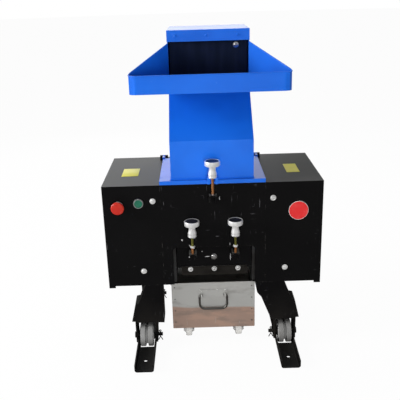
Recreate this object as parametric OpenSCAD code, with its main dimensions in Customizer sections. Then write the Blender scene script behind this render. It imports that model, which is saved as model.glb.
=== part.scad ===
// Small plastic granulator on wheeled feet.
// A bladed rotor turns between thick chamber sides over a perforated screen.
// The feed hopper tilts back on rear hinges, and the screen cradle drops on its
// own hinge; swing bolts with round knobs hold both. The frame stands on the
// floor with +Z up, the front faces -Y, and the origin is on the floor under
// the middle of the machine. All sizes are in millimetres.

/* [Cabinet] */
// Width over both side covers
cab_w = 670; // [620:10:720]
// Depth of the cabinet
cab_d = 328; // [320:4:360]
// Height of the cabinet
cab_h = 332; // [320:4:360]
// Height of the cabinet's underside above the floor
cab_lift = 228; // [224:2:250]
// Sheet thickness of the side covers and the rear panel
cover_t = 2; // [1:0.5:3]
// Width of the front plate between the two covers
centre_w = 320; // [310:2:330]
// Thickness of the front plate
front_t = 6; // [4:0.5:7]
// Width of the recess over the bin
recess_w = 256; // [240:2:270]
// Height of the recess over the bin
recess_h = 127; // [110:1:140]
// Corner radius at the top of the recess
recess_r = 14; // [6:1:24]
// Thickness of the top plate that carries the hopper
top_t = 12; // [8:1:14]
// Thickness of the base plates
base_t = 6; // [4:1:8]
// Width of the tabs under the covers' outer corners
tab_w = 20; // [12:1:30]
// Drop of those tabs
tab_h = 7; // [4:1:12]
// Height of the rear panel
rear_h = 196; // [180:2:200]

/* [Chamber and rotor] */
// Clear width of the cutting chamber
chamber_w = 240; // [230:2:244]
// Thickness of the chamber's side plates
side_t = 16; // [12:1:18]
// Depth of the side plates behind the front plate
side_d = 248; // [240:2:256]
// Distance of the rotor axis behind the cabinet's front
rotor_inset = 122; // [120:1:125]
// Distance of the rotor axis below the cabinet's top
rotor_drop = 150; // [146:1:154]
// Radius of the circle that the rotor knives cut
rotor_r = 84; // [78:1:85]
// Length of the rotor's cutting part
rotor_l = 228; // [220:1:229]
// Radius of the rotor shaft
shaft_r = 20; // [16:1:22]
// Number of rotor knives
knife_n = 3; // [2:1:5]
// Thickness of a rotor knife
knife_t = 9; // [7:0.5:11]
// Gap between the rotor knives and the fixed knives
cut_gap = 1; // [0.6:0.1:2]
// Thickness of a fixed knife
bed_t = 10; // [8:1:12]
// Gap between the rotor knives and the screen
screen_gap = 6; // [5:0.5:8]
// Thickness of the screen
screen_t = 3; // [2:0.5:4]
// Diameter of the screen's holes
screen_hole = 10; // [6:1:12]
// Distance from hole to hole in the screen
screen_pitch = 20; // [18:1:26]
// Radius of the driven pulley
driven_r = 95; // [85:1:100]
// Radius of the motor pulley
drive_r = 33; // [28:1:34]
// Width of both pulleys
pulley_w = 40; // [34:1:44]
// Radius of the flywheel
fly_r = 95; // [85:1:100]
// Width of the flywheel
fly_w = 44; // [30:1:50]

/* [Motor] */
// Radius of the motor body
motor_r = 78; // [70:1:80]
// Length of the motor with its fan cover
motor_l = 222; // [200:2:226]
// Gap between the motor pulley and the cover behind it
motor_gap = 3; // [2:1:8]
// Height of the motor axis above the floor
motor_z = 268; // [266:1:280]
// Radius of the motor shaft
motor_shaft_r = 12; // [10:1:14]

/* [Hopper] */
// Height of the flange that closes the chamber
flange_h = 12; // [10:1:16]
// Depth of the flange
flange_d = 264; // [256:2:270]
// Sheet thickness of the hopper
hopper_t = 2; // [1.5:0.5:3]
// Width of the chute
chute_w = 250; // [246:1:256]
// Depth of the chute
chute_d = 223; // [218:1:228]
// Distance of the chute's front behind the flange's front edge
chute_inset = 12; // [8:1:16]
// Height of the chute's upright part over the flange
chute_h = 118; // [100:2:140]
// How far the chute leans back
lean_y = 138; // [120:2:150]
// Height of the leaning part
lean_h = 132; // [120:2:150]
// Height of the hood over the chute's mouth
hood_h = 176; // [160:2:190]
// Depth of the hood
hood_d = 210; // [190:2:230]
// Height of the strip that holds the curtain
strip_h = 34; // [28:1:40]
// Thickness of the strip
strip_t = 3; // [2:0.5:5]
// Height of the tray's front lip
lip_h = 52; // [40:1:64]
// Distance of the tray's lip in front of the hopper's mouth
tray_d = 177; // [160:1:186]
// Width that the tray's wings run out to before their round corners
tray_w = 508; // [460:4:540]
// Corner radius of the tray seen from above
tray_r = 25; // [15:1:35]
// Rise of the tray's floor from the mouth to the lip
tray_rise = 14; // [6:1:20]
// Height of the wings where they meet the hood
wing_h = 136; // [120:1:140]
// Depth of the straight top edge behind the lip
lip_run = 27; // [20:1:40]
// Distance of the hinge axis behind the flange
hinge_y = 21; // [18:1:26]
// Length of one hinge
hinge_w = 27; // [20:1:36]
// Distance of the hinges from the middle
hinge_x = 144; // [130:1:146]
// Radius of the hinge knuckles
hinge_r = 6; // [5:0.5:8]
// Thickness of the rubber curtain
curtain_t = 4; // [3:0.5:6]
// Length of the rubber curtain
curtain_h = 156; // [140:1:158]

/* [Clamps] */
// Radius of a knob's disc
knob_r = 23; // [18:0.5:26]
// Height of a knob
knob_h = 52; // [44:1:56]
// Radius of a knob's collar
collar_r = 13; // [11:0.5:15]
// Radius of the threaded rod
rod_r = 4; // [3:0.5:5]
// Distance of the lower clamps from the middle
clamp_x = 66; // [56:1:80]
// Distance of the lower clamps in front of the cabinet
clamp_y = 25; // [24:1:30]
// Height of the lower clamps' seats above the floor
clamp_z = 400; // [396:1:410]
// Length of the lower rods below their seats
clamp_drop = 60; // [56:1:64]
// Distance of the top clamp in front of the cabinet
top_clamp_y = 20; // [20:1:26]
// Height of the top clamp's seat over the cabinet's top
top_clamp_h = 25; // [22:1:30]
// Depth of the top rod's foot below the cabinet's top
top_clamp_drop = 33; // [28:1:40]

/* [Bin] */
// Width of the bin
bin_w = 267; // [250:1:268]
// Depth of the bin
bin_d = 180; // [160:2:184]
// Height of the bin's walls
bin_h = 163; // [140:1:166]
// Height of the bin's floor above the ground
bin_lift = 57; // [52:1:58]
// Distance of the bin behind the cabinet's front
bin_inset = 20; // [16:1:24]
// Distance that the bin stands off the middle
bin_shift = -5; // [-8:1:8]
// Sheet thickness of the bin
bin_t = 1.5; // [1:0.5:3]
// Width of the handle's plate
handle_w = 94; // [80:1:110]
// Height of the handle's plate
handle_h = 27; // [22:1:32]
// Drop of the handle below its pivots
handle_drop = 47; // [40:1:56]
// Radius of the handle's lower corners
handle_bend = 18; // [10:1:24]
// Radius of the handle's wire
handle_r = 3.5; // [2.5:0.5:4.5]
// Radius of a caster wheel
caster_r = 20; // [16:1:22]
// Width of a caster wheel
caster_w = 20; // [12:1:24]

/* [Feet] */
// Distance from rail to rail, middle to middle
rail_gap = 452; // [440:2:460]
// Length of a rail
rail_l = 614; // [560:2:640]
// Width of a rail
rail_w = 60; // [56:1:64]
// Height of a rail's sides
rail_h = 25; // [20:1:26]
// Thickness of a rail
rail_t = 4; // [3:0.5:5]
// Outer corner radius of a rail
rail_r = 8; // [5:0.5:10]
// Gap under a rail
rail_lift = 3; // [2:0.5:4]
// Distance of an anchor hole from the rail's end
anchor_y = 58; // [40:1:70]
// Radius of an anchor hole
anchor_r = 6; // [5:0.5:7]
// Radius of a wheel
wheel_r = 38; // [36:1:40]
// Width of a wheel over both treads
wheel_w = 40; // [36:1:42]
// Width of the groove between a wheel's treads
tread_gap = 9; // [6:1:12]
// Distance of the wheels' axles in from the cabinet's front and rear
axle_inset = 20; // [18:1:24]
// Radius of an axle pin
axle_r = 6; // [5:0.5:7]
// Thickness of the legs' plates
leg_t = 5; // [4:0.5:6]
// Depth of a leg
leg_d = 62; // [56:1:70]
// Height of the legs' wheel boxes above the floor
box_z = 92; // [88:1:96]

/* [Controls] */
// Distance of the stop button in from the cabinet's side
stop_inset = 47; // [40:1:55]
// Height of the stop button above the floor
stop_z = 497; // [480:1:510]
// Radius of the stop button's head
stop_r = 20; // [18:0.5:22]
// Distance of the start button in from the cabinet's side
start_inset = 109; // [95:1:115]
// Height of the start button above the floor
start_z = 505; // [490:1:515]
// Radius of the start button
start_r = 12.5; // [10:0.5:13]
// Radius of the buttons' rings
ring_r = 15; // [14:0.5:16]

/* [Hidden] */
$fn = 48;

// Overrun of every cut past the face that it opens
over = 1;
// Radial clearance of pins and shafts in their bores
fit = 0.05;
// Gap between faces that rest close but move apart
rest_gap = 0.3;
// Gap under the heads of screws that share a node with what they hold
seat_gap = 0.05;

// Main planes
front_y = -cab_d / 2;
rear_y = cab_d / 2;
top_z = cab_lift + cab_h;
plate_y = front_y + front_t;
base_z = cab_lift + base_t;
deck_z = top_z - top_t;
recess_z = cab_lift + recess_h;
motor_y = rear_y - cover_t - motor_gap - drive_r;
axle_y = cab_d / 2 - axle_inset;
stop_x = cab_w / 2 - stop_inset;
start_x = cab_w / 2 - start_inset;

// Rotor and chamber
rotor_y = front_y + rotor_inset;
rotor_z = top_z - rotor_drop;
cut_r = rotor_r + cut_gap;
screen_r = rotor_r + screen_gap;
screen_ro = screen_r + screen_t;
side_x = chamber_w / 2;
side_xo = side_x + side_t;
wall_gap = 1;
wall_y0 = rotor_y - screen_ro - wall_gap;
wall_y1 = rotor_y + screen_ro + wall_gap;
wall_t = 14;
seat_h = 12;
bed_z = rotor_z - bed_t;
seat_z = bed_z - seat_h;
seat_back = 4;
wall_x = side_x - rest_gap;
shaft_l = 250;
shaft_clear = 4;
bolt_head_r = 9;
bolt_head_h = 6;
bed_bolts = 4;
bed_bolt_span = 180;

// Bearings
bearing_reach = 51;
bearing_t = 14;
bearing_r = 38;
bearing_l = 34;
bearing_nose_r = 30;
bearing_neck_share = 0.7;
bearing_corner = 12;

// Rotor core and knives
hub_r = 44;
arm_w = 34;
arm_r = 74;
knife_in = 40;
arm_back_share = 0.8;
arm_tip_share = 0.45;
knife_bolt_share = 0.6;
rear_bolt_share = 0.75;
bevel_share = 0.55;
knife_bolts = 3;
knife_bolt_pitch = 76;
rotor_turn = 25;

// Pulleys, flywheel and belts
pulley_x = 196;
groove_n = 2;
groove_w = 14;
groove_in_w = 11;
groove_d = 10;
belt_w = 10;
belt_t = 8;
belt_lift = 0.5;
web_t = 12;
rim_t = 16;
fly_rim_t = 24;
boss_r = 34;
spoke_hole_share = 0.17;
spoke_n = 5;

// Screen cradle
cradle_clear = 3;
cradle_w = chamber_w - 2 * cradle_clear;
arc_h = 12;
arc_ro = screen_ro + arc_h;
arc_t = 14;
arc_a0 = 195;
arc_a1 = 345;
pin_back = 102;
pin_drop = 36;
pin_y = rotor_y + pin_back;
pin_z = rotor_z - pin_drop;
pin_r = 6;
ear_r = 11;
apron_inset = 14;
apron_lift = 50;
apron_drop = 30;
apron_t = 6;
apron_y = front_y + apron_inset;
apron_z0 = cab_lift + apron_lift;
apron_z1 = rotor_z - apron_drop;
lug_t = 6;
lug_gap = 6;
lug_h = 20;
foot_r = 5;
foot_l = 24;
foot_clear = 0.6;
foot_sink = 2;
lug_nose = 8;
lip_w = 208;
lip_t = 3;
lip_low = 23;
lip_lap = 6;
lip_z0 = apron_z0 - lip_low;
lip_z1 = apron_z0 + lip_lap;
lip_screw_z = apron_z0 - lip_t;
lip_lean = 3;
screw_r = 6;
screw_h = 3.5;
lip_screw_x = 75;
dome_lift = 87;
dome_z = cab_lift + dome_lift;
dome_r = 8.5;
dome_h = 5;

// Motor
motor_body_share = 0.72;
motor_body_l = motor_l * motor_body_share;
fin_inset_share = 0.1;
fin_n = 28;
fin_h = 5;
fin_t = 2.4;
foot_x = 62;
foot_w = 30;
foot_y = 60;
foot_h = 12;
shelf_t = 6;
shelf_gap = 2;
shelf_half = 70;
shelf_z = motor_z - motor_r - shelf_t - shelf_gap;
shelf_y0 = motor_y - shelf_half;
shelf_y1 = motor_y + shelf_half;
arm_t = 5;
arm_rise = 40;
arm_top = motor_z + arm_rise;
arm_hole = 22;
term_w = 90;
term_d = 70;
term_h = 34;
fan_gap = 4;
grille_n = 7;
grille_pitch = 14;
grille_w = 6;
grille_l = 90;
feet_shift = 31;

// Hopper
flange_z = top_z + flange_h;
flange_y1 = front_y + flange_d;
chute_x = chute_w / 2;
chute_y0 = front_y + chute_inset;
chute_y1 = chute_y0 + chute_d;
bend_z = flange_z + chute_h;
mouth_y = chute_y0 + lean_y;
mouth_z = bend_z + lean_h;
mouth_run = 10;
hood_y = mouth_y + mouth_run;
hood_y1 = hood_y + hood_d;
hood_z = mouth_z + hood_h;
hood_drop = 3;
lip_y = mouth_y - tray_d;
lip_z = mouth_z + tray_rise;
hinge_ay = flange_y1 + hinge_y;
hinge_az = flange_z;
pin_hinge_r = 3;
leaf_t = 4;
strip_proud = 1;
strip_x = chute_x + strip_proud;
strip_screw_x = 95;
strip_screw_shift = -5;
strip_screw_share = 0.7;
curtain_w = 238;
curtain_drop = 12;
curtain_in = 10;
curtain_y = hood_y + curtain_in;
curtain_z = hood_z - curtain_drop;
curtain_rod_r = 3;
fork_w = 33;
fork_tine = 9;
fork_h = 20;
clamp_fork_h = 12;
clamp_fork_w = 28;
clamp_fork_tine = 9;
ear_t = 5;
ear_gap = 7;
ear_h = 24;
ear_nose = 8;

// Bin
bin_x0 = bin_shift - bin_w / 2;
bin_x1 = bin_shift + bin_w / 2;
bin_y0 = front_y + bin_inset;
bin_y1 = bin_y0 + bin_d;
bin_z1 = bin_lift + bin_h;
rim_w = 3;
rim_h = 5;
handle_plate_t = 2;
handle_low = 41;
plate_low = 9;
rivet_rise = 15;
rivet_in = 7;
handle_in = 9;
handle_z = bin_z1 - handle_low;
handle_x = handle_w / 2 - handle_in;
handle_out = 8;
handle_ear_t = 5;
handle_ear_r = 7;
rivet_r = 4;
rivet_h = 2;
rivet_n = 4;
caster_x = 84;
caster_y = 52;
caster_clear = 0.3;
caster_pin_r = 3;
caster_plate = 38;
caster_plate_t = 3;
caster_cheek = 2.5;
caster_rim_share = 0.9;
caster_flat_share = 0.3;
fork_top_share = 0.8;
fork_low_share = 0.3;

// Feet
rail_x = rail_gap / 2;
rail_slot = 54;
box_w = rail_w + 2 * leg_t;
cheek_front = 18;
cheek_back = 44;
cheek_y0 = axle_y + cheek_front;
cheek_y1 = axle_y - cheek_back;
cheek_z0 = 14;
cheek_r = 12;
axle_z = wheel_r;
hub_wr = 13;
hub_wl = 44;
tyre_t = 9;
pin_head_r = 10;
pin_head_t = 5;
pin_out = 16;
split_r = 1.4;
split_l = 15;
split_spread = 28;
leg_flange_t = 6;
leg_flange_w = 50;

// Controls
neck_r = 11;
neck_l = 6;
neck_wall = 2;
neck_bore = neck_r - neck_wall;
stop_out = 20;
stop_cap = 12;
start_out = 1;
start_t = 3;
ring_h = 7;
ring_floor = 1.5;
block_l = 44;
block_r = 12;
box_gap = 25;
box_x = cab_w / 2 - cover_t - pulley_x - fly_w - box_gap;
box_y0 = 10;
box_y1 = 110;
box_z0 = 150;
box_z1 = 260;

// Screw places on the covers
screw_hi_x = 183;
screw_inset = 50;
screw_hi_z = top_z - screw_inset;
screw_lo_x = 222;
screw_lo_z = cab_lift + screw_inset;
cover_screw_r = 8;
cover_screw_h = 4;

// Profiles in shares of a radius and a height
screw_shares = [[0, 0], [1, 0], [1, 0.25], [0.8, 0.7], [0.4, 1], [0, 1]];
collar_shares = [[0, 0], [0.92, 0], [1, 0.05], [1, 0.22], [0.9, 0.34], [0.76, 0.46], [0.76, 0.6],
    [0.95, 0.7]];
disc_shares = [[0.93, 0.71], [1, 0.76], [1, 0.97], [0.96, 1], [0, 1]];
stop_shares = [[0, 0], [0.8, 0], [1, 0.25], [1, 0.65], [0.85, 0.92], [0.4, 1], [0, 1]];
knob_bore_share = 0.75;
rod_in_share = 0.7;
nut_place_share = 0.6;
nut_h_share = 1.6;
nut_r_share = 1.9;

// Colours
black = [0.08, 0.08, 0.09];
blue = [0.10, 0.38, 0.85];
steel = [0.62, 0.63, 0.64];
inox = [0.72, 0.71, 0.68];
castiron = [0.35, 0.36, 0.38];
grey = [0.45, 0.47, 0.50];
rubber = [0.06, 0.06, 0.10];
copper = [0.72, 0.45, 0.25];

function unit(v) = v / norm(v);
function left_of(a, b) = let (d = unit(b - a)) [-d[1], d[0]];
function joined(p, i) = i > 0 ? left_of(p[i - 1], p[i]) : left_of(p[0], p[1]);
function leaving(p, i) = i < len(p) - 1 ? left_of(p[i], p[i + 1]) : joined(p, i);
function beside(p, i, t) =
    let (a = joined(p, i), b = leaving(p, i)) p[i] + t * (a + b) / (1 + a * b);
// Outline of a folded sheet of thickness t that follows the path p on its left
function band(p, t) = concat(p, [for (i = [len(p) - 1 : -1 : 0]) beside(p, i, t)]);
// Points of an arc of radius r in the corner a-b-c
function corner(a, b, c, r, n = 5) =
    let (u = unit(a - b), v = unit(c - b), h = acos(u * v) / 2)
    let (m = b + unit(u + v) * r / sin(h), s = b + u * r / tan(h) - m, e = b + v * r / tan(h) - m)
    [for (k = [0 : n]) m + r * unit(s * (n - k) + e * k)];
// Path p with its inner corners rounded
function rounded(p, r) = concat([p[0]],
    [for (i = [1 : len(p) - 2]) each corner(p[i - 1], p[i], p[i + 1], r)], [p[len(p) - 1]]);
// Points of a profile p given in shares of r and h
function sized(p, r, h) = [for (q = p) [q[0] * r, q[1] * h]];
function sector(r, a0, a1) = concat([[0, 0]],
    [for (k = [0 : 6]) 2 * r * [cos(a0 + (a1 - a0) * k / 6), sin(a0 + (a1 - a0) * k / 6)]]);

module block(lo, hi) {
    translate(lo) cube(hi - lo);
}

// Extrudes an outline in Y and Z along X
module along_x(x0, x1) {
    translate([x0, 0, 0]) rotate([90, 0, 90]) linear_extrude(x1 - x0) children();
}

// Extrudes an outline in X and Z along Y
module along_y(y0, y1) {
    translate([0, y1, 0]) rotate([90, 0, 0]) linear_extrude(y1 - y0) children();
}

module along_z(z0, z1) {
    translate([0, 0, z0]) linear_extrude(z1 - z0) children();
}

module rod_x(x0, x1, y, z, r) {
    translate([x0, y, z]) rotate([0, 90, 0]) cylinder(h = x1 - x0, r = r);
}

module rod_y(y0, y1, x, z, r) {
    translate([x, y0, z]) rotate([-90, 0, 0]) cylinder(h = y1 - y0, r = r);
}

module both_sides() {
    children();
    mirror([1, 0, 0]) children();
}

// Low domed screw head standing on a front face, with its washer
module front_screw(x, y, z, r, h) {
    translate([x, y, z]) rotate([90, 0, 0]) rotate_extrude() polygon(sized(screw_shares, r, h));
}

// Fixed machine

module front_plate() {
    color(black) {
        along_y(front_y, plate_y) difference() {
            translate([-centre_w / 2, cab_lift]) square([centre_w, cab_h]);
            hull() {
                translate([-recess_w / 2, cab_lift - over]) square([recess_w, recess_h / 2]);
                both_ways(recess_w / 2 - recess_r) translate([0, recess_z - recess_r]) circle(recess_r);
            }
        }
        both_sides() lower_fork();
        top_ears();
    }
}

module both_ways(x) {
    translate([x, 0]) children();
    translate([-x, 0]) children();
}

// Fork under the collar of a lower clamp; it ends in the plane of the rod
module lower_fork() {
    translate([clamp_x, 0, 0]) for (s = [-1, 1])
        block([s * clamp_fork_w / 2 - (s > 0 ? clamp_fork_tine : 0), front_y - clamp_y,
            clamp_z - clamp_fork_h],
            [s * clamp_fork_w / 2 + (s < 0 ? clamp_fork_tine : 0), front_y, clamp_z]);
}

// Side outline of a seat with an open notch for a bolt's foot at y, z
module foot_seat(y, z, y1, nose, h) {
    difference() {
        polygon([[y1, z + foot_sink], [y1, z + foot_sink - h], [y - nose / 2, z + foot_sink - h],
            [y - nose, z + foot_sink - h / 2], [y - nose, z + foot_sink]]);
        translate([y, z]) circle(foot_r + foot_clear);
        translate([y - foot_r - foot_clear, z]) square([2 * (foot_r + foot_clear), h]);
    }
}

module top_ears() {
    for (s = [-1, 1]) along_x(s * (ear_gap + ear_t / 2) - ear_t / 2, s * (ear_gap + ear_t / 2) + ear_t / 2)
        foot_seat(front_y - top_clamp_y, top_z - top_clamp_drop, front_y, ear_nose, ear_h);
}

module rear_panel() {
    color(black) block([-centre_w / 2, rear_y - cover_t, top_z - rear_h], [centre_w / 2, rear_y, top_z]);
}

module top_plate() {
    color(black) difference() {
        block([-centre_w / 2, plate_y, deck_z], [centre_w / 2, rear_y - cover_t, top_z]);
        block([-side_x, wall_y0, deck_z - over], [side_x, wall_y1, top_z + over]);
    }
}

module chamber_side(s) {
    color(castiron) along_x(min(s * side_x, s * side_xo), max(s * side_x, s * side_xo)) difference() {
        translate([plate_y, base_z]) square([side_d, deck_z - base_z]);
        translate([rotor_y, rotor_z]) circle(shaft_r + shaft_clear);
        translate([pin_y, pin_z]) circle(pin_r + fit);
    }
}

// Upper walls and lower seats between the chamber sides, front and rear
module chamber_walls() {
    color(castiron) along_x(-wall_x, wall_x) {
        translate([plate_y, rotor_z]) square([wall_y0 - plate_y, deck_z - rotor_z]);
        translate([wall_y1, rotor_z]) square([wall_t, deck_z - rotor_z]);
        translate([plate_y, seat_z]) square([rotor_y - cut_r - seat_back - plate_y, seat_h]);
        translate([rotor_y + cut_r + seat_back, seat_z])
            square([wall_y1 + wall_t - rotor_y - cut_r - seat_back, seat_h]);
    }
}

// Fixed knives with their bevelled edges, and the bolts under them
module fixed_knives() {
    color(steel) along_x(-wall_x, wall_x) {
        polygon([[plate_y, bed_z], [plate_y, rotor_z], [rotor_y - cut_r, rotor_z],
            [rotor_y - cut_r - seat_back, bed_z]]);
        polygon([[wall_y1 + wall_t, bed_z], [wall_y1 + wall_t, rotor_z], [rotor_y + cut_r, rotor_z],
            [rotor_y + cut_r + seat_back, bed_z]]);
    }
    color(grey) for (i = [0 : bed_bolts - 1])
        translate([bed_bolt_span * (i / (bed_bolts - 1) - 0.5), 0, seat_z - bolt_head_h]) {
            translate([0, (plate_y + wall_y0) / 2 - over, 0])
                cylinder(h = bolt_head_h, r = bolt_head_r, $fn = 6);
            translate([0, wall_y1 + wall_t / 2, 0])
                cylinder(h = bolt_head_h, r = bolt_head_r * rear_bolt_share, $fn = 6);
        }
}

// Four-bolt flange bearings outside the chamber sides
module bearings() {
    both_sides() translate([side_xo, rotor_y, rotor_z]) rotate([0, 90, 0]) {
        color(castiron) difference() {
            union() {
                linear_extrude(bearing_t) hull() for (a = [45 : 90 : 315])
                    rotate(a) translate([bearing_reach, 0]) circle(bearing_corner, $fn = 32);
                rotate_extrude() polygon([[0, 0], [bearing_r, 0], [bearing_r, bearing_l * bearing_neck_share],
                    [bearing_nose_r, bearing_l], [0, bearing_l]]);
            }
            translate([0, 0, -over]) cylinder(h = bearing_l + 2 * over, r = shaft_r + fit);
        }
        color(steel) for (a = [45 : 90 : 315]) rotate(a)
            translate([bearing_reach, 0, bearing_t]) cylinder(h = bolt_head_h, r = bolt_head_r, $fn = 6);
    }
}

module base_plates() {
    color(black) both_sides()
        block([side_x, plate_y, cab_lift], [cab_w / 2 - cover_t, rear_y - front_t, base_z]);
}

// Sheet cover over one end of the machine, open to the middle and below
module cover() {
    difference() {
        block([centre_w / 2, front_y, cab_lift], [cab_w / 2, rear_y, top_z]);
        block([centre_w / 2 - over, front_y + cover_t, cab_lift - over],
            [cab_w / 2 - cover_t, rear_y - cover_t, top_z - cover_t]);
    }
    block([cab_w / 2 - tab_w, front_y, cab_lift - tab_h], [cab_w / 2, front_y + cover_t, cab_lift]);
    block([cab_w / 2 - tab_w, rear_y - cover_t, cab_lift - tab_h], [cab_w / 2, rear_y, cab_lift]);
}

module left_cover() {
    color(black) difference() {
        mirror([1, 0, 0]) cover();
        rod_y(front_y - over, front_y + cover_t + over, -stop_x, stop_z, neck_r + fit);
        rod_y(front_y - over, front_y + cover_t + over, -start_x, start_z, neck_r + fit);
    }
}

module right_cover() {
    color(black) cover();
}

module panel_screws() {
    color(steel) both_sides() {
        front_screw(screw_hi_x, front_y, screw_hi_z, cover_screw_r, cover_screw_h);
        front_screw(screw_lo_x, front_y, screw_lo_z, cover_screw_r, cover_screw_h);
        mirror([0, 1, 0]) {
            front_screw(screw_hi_x, front_y, screw_hi_z, cover_screw_r, cover_screw_h);
            front_screw(screw_lo_x, front_y, screw_lo_z, cover_screw_r, cover_screw_h);
        }
    }
}

// Feet

// Folded channel, open upwards, with slots for the wheels and anchor holes
module rail(s) {
    path = rounded([[-rail_w / 2, rail_h], [-rail_w / 2, 0], [rail_w / 2, 0], [rail_w / 2, rail_h]], rail_r);
    color(black) translate([s * rail_x, 0, rail_lift]) difference() {
        along_y(-rail_l / 2, rail_l / 2) polygon(band(path, rail_t));
        for (e = [-1, 1]) {
            block([-rail_w / 2 + rail_r, e * axle_y - rail_slot / 2, -over],
                [rail_w / 2 - rail_r, e * axle_y + rail_slot / 2, rail_t + over]);
            translate([0, e * (rail_l / 2 - anchor_y), -over]) cylinder(h = rail_t + 2 * over, r = anchor_r);
        }
    }
}

// Edges of the legs seen from the front, from the top down
leg_top = cab_lift;
left_in_x = -166;
right_in_x = 134;
right_low_x = 181;
bend_x = 148;
bend_rise = 84;
bend_r = 16;
outer_top_x = 220;
knee_x = 245;
knee_rise = 71;
step_x = 257;
step_rise = 68;
outer_low_x = 271;
outer_low_rise = 6;
left_inner = [[left_in_x, leg_top], [left_in_x, box_z]];
right_inner = rounded([[right_in_x, leg_top], [right_in_x, box_z + bend_rise + bend_r],
    [bend_x, box_z + bend_rise], [right_low_x, box_z]], bend_r);
outer_edge = [[outer_top_x, leg_top], [knee_x, box_z + knee_rise], [step_x, box_z + step_rise],
    [outer_low_x, box_z + outer_low_rise]];
function flipped(p) = [for (q = p) [-q[0], q[1]]];
// Path p moved sideways by t and run on past both of its ends
function within(p, t) = let (n = len(p) - 1)
    concat([beside(p, 0, t) + over * unit(p[0] - p[1])], [for (i = [1 : n - 1]) beside(p, i, t)],
        [beside(p, n, t) + over * unit(p[n] - p[n - 1])]);
function turned(p) = [for (i = [len(p) - 1 : -1 : 0]) p[i]];

// Box over a wheel: a top plate and two cheeks that carry the axle pin
module wheel_box(s) {
    cheek = rounded([[-cheek_y0, box_z + over], [-cheek_y0, cheek_z0], [-cheek_y1, cheek_z0],
        [-cheek_y1, box_z + over]], cheek_r);
    translate([s * rail_x, 0, 0]) difference() {
        union() {
            block([-box_w / 2, -cheek_y0, box_z], [box_w / 2, -cheek_y1, box_z + leg_t]);
            along_x(-box_w / 2, -box_w / 2 + leg_t) polygon(cheek);
            along_x(box_w / 2 - leg_t, box_w / 2) polygon(cheek);
        }
        rod_x(-box_w, box_w, -axle_y, axle_z, axle_r + fit);
    }
}

// Leg folded from plate: front face, two returns, top flange and the welded wheel box
module leg(inner, outer, s) {
    difference() {
        along_y(front_y, front_y + leg_d) polygon(concat(inner, turned(outer)));
        along_y(front_y + leg_t, front_y + leg_d + over)
            polygon(concat(within(inner, s * leg_t), turned(within(outer, -s * leg_t))));
    }
    along_z(cab_lift - leg_flange_t, cab_lift) translate([0, front_y])
        square_between(s * outer_top_x, s * (outer_top_x - leg_flange_w), leg_d);
    wheel_box(s);
}

module square_between(a, b, d) {
    translate([min(a, b), 0]) square([abs(a - b), d]);
}

module left_leg() {
    leg(left_inner, flipped(outer_edge), -1);
}

module right_leg() {
    leg(right_inner, outer_edge, 1);
}

module front_left_leg() {
    color(black) left_leg();
}

module front_right_leg() {
    color(black) right_leg();
}

module rear_left_leg() {
    color(black) mirror([0, 1, 0]) left_leg();
}

module rear_right_leg() {
    color(black) mirror([0, 1, 0]) right_leg();
}

// Axle pins with their heads outside and spread split pins inside
module wheel_pins() {
    color(steel) both_sides() for (e = [-1, 1]) translate([rail_x, e * axle_y, axle_z]) {
        difference() {
            union() {
                rod_x(-box_w / 2 - pin_out, box_w / 2, 0, 0, axle_r);
                rod_x(box_w / 2, box_w / 2 + pin_head_t, 0, 0, pin_head_r);
            }
            translate([-box_w / 2 - pin_out / 2, 0, 0])
                cylinder(h = 3 * axle_r, r = split_r + fit, center = true);
        }
        translate([-box_w / 2 - pin_out / 2, 0, 0]) {
            cylinder(h = 2 * axle_r + 4 * split_r, r = split_r, center = true);
            for (a = [-split_spread, split_spread])
                translate([0, 0, -axle_r - 2 * split_r]) rotate([0, 180 + a, 0])
                    cylinder(h = split_l, r = split_r);
            translate([0, 0, axle_r + 4 * split_r]) rotate([90, 0, 0]) rotate_extrude()
                translate([2 * split_r, 0]) circle(split_r);
        }
    }
}

module wheel(s, e) {
    half = [[wheel_r - tyre_t, 0], [wheel_r - tyre_t, tread_gap / 2], [wheel_r - over, tread_gap / 2],
        [wheel_r, tread_gap / 2 + over], [wheel_r, wheel_w / 2 - over], [wheel_r - over, wheel_w / 2],
        [hub_wr, wheel_w / 2], [hub_wr, hub_wl / 2], [axle_r + fit, hub_wl / 2]];
    color(grey) translate([s * rail_x, e * axle_y, axle_z]) rotate([0, 90, 0]) rotate_extrude()
        polygon(concat(half, turned([for (p = half) if (p[1] > 0) [p[0], -p[1]]])));
}

// Drive

// Finned motor body on two feet, with its terminal box and fan cover
module motor_housing() {
    x0 = motor_l / 2 - motor_body_l;
    color(castiron) {
        translate([x0, motor_y, motor_z]) rotate([0, 90, 0]) difference() {
            union() {
                cylinder(h = motor_body_l, r = motor_r - fin_h);
                for (i = [0 : fin_n - 1]) rotate(360 * i / fin_n)
                    translate([-fin_t / 2, 0, motor_body_l * fin_inset_share])
                        cube([fin_t, motor_r, motor_body_l * (1 - 2 * fin_inset_share)]);
            }
            translate([0, 0, -over]) cylinder(h = motor_body_l + 2 * over, r = motor_shaft_r + fit);
        }
        for (s = [-1, 1]) translate([feet_shift, 0, 0])
            block([s * foot_x - foot_w / 2, motor_y - foot_y, shelf_z + shelf_t],
                [s * foot_x + foot_w / 2, motor_y + foot_y, shelf_z + shelf_t + foot_h]);
        translate([feet_shift - term_w / 2, motor_y + motor_r - 2 * fin_h, motor_z - term_d / 2])
            cube([term_w, term_h, term_d]);
        fan_cover(x0 + motor_body_l * fin_inset_share + over);
    }
}

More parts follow.
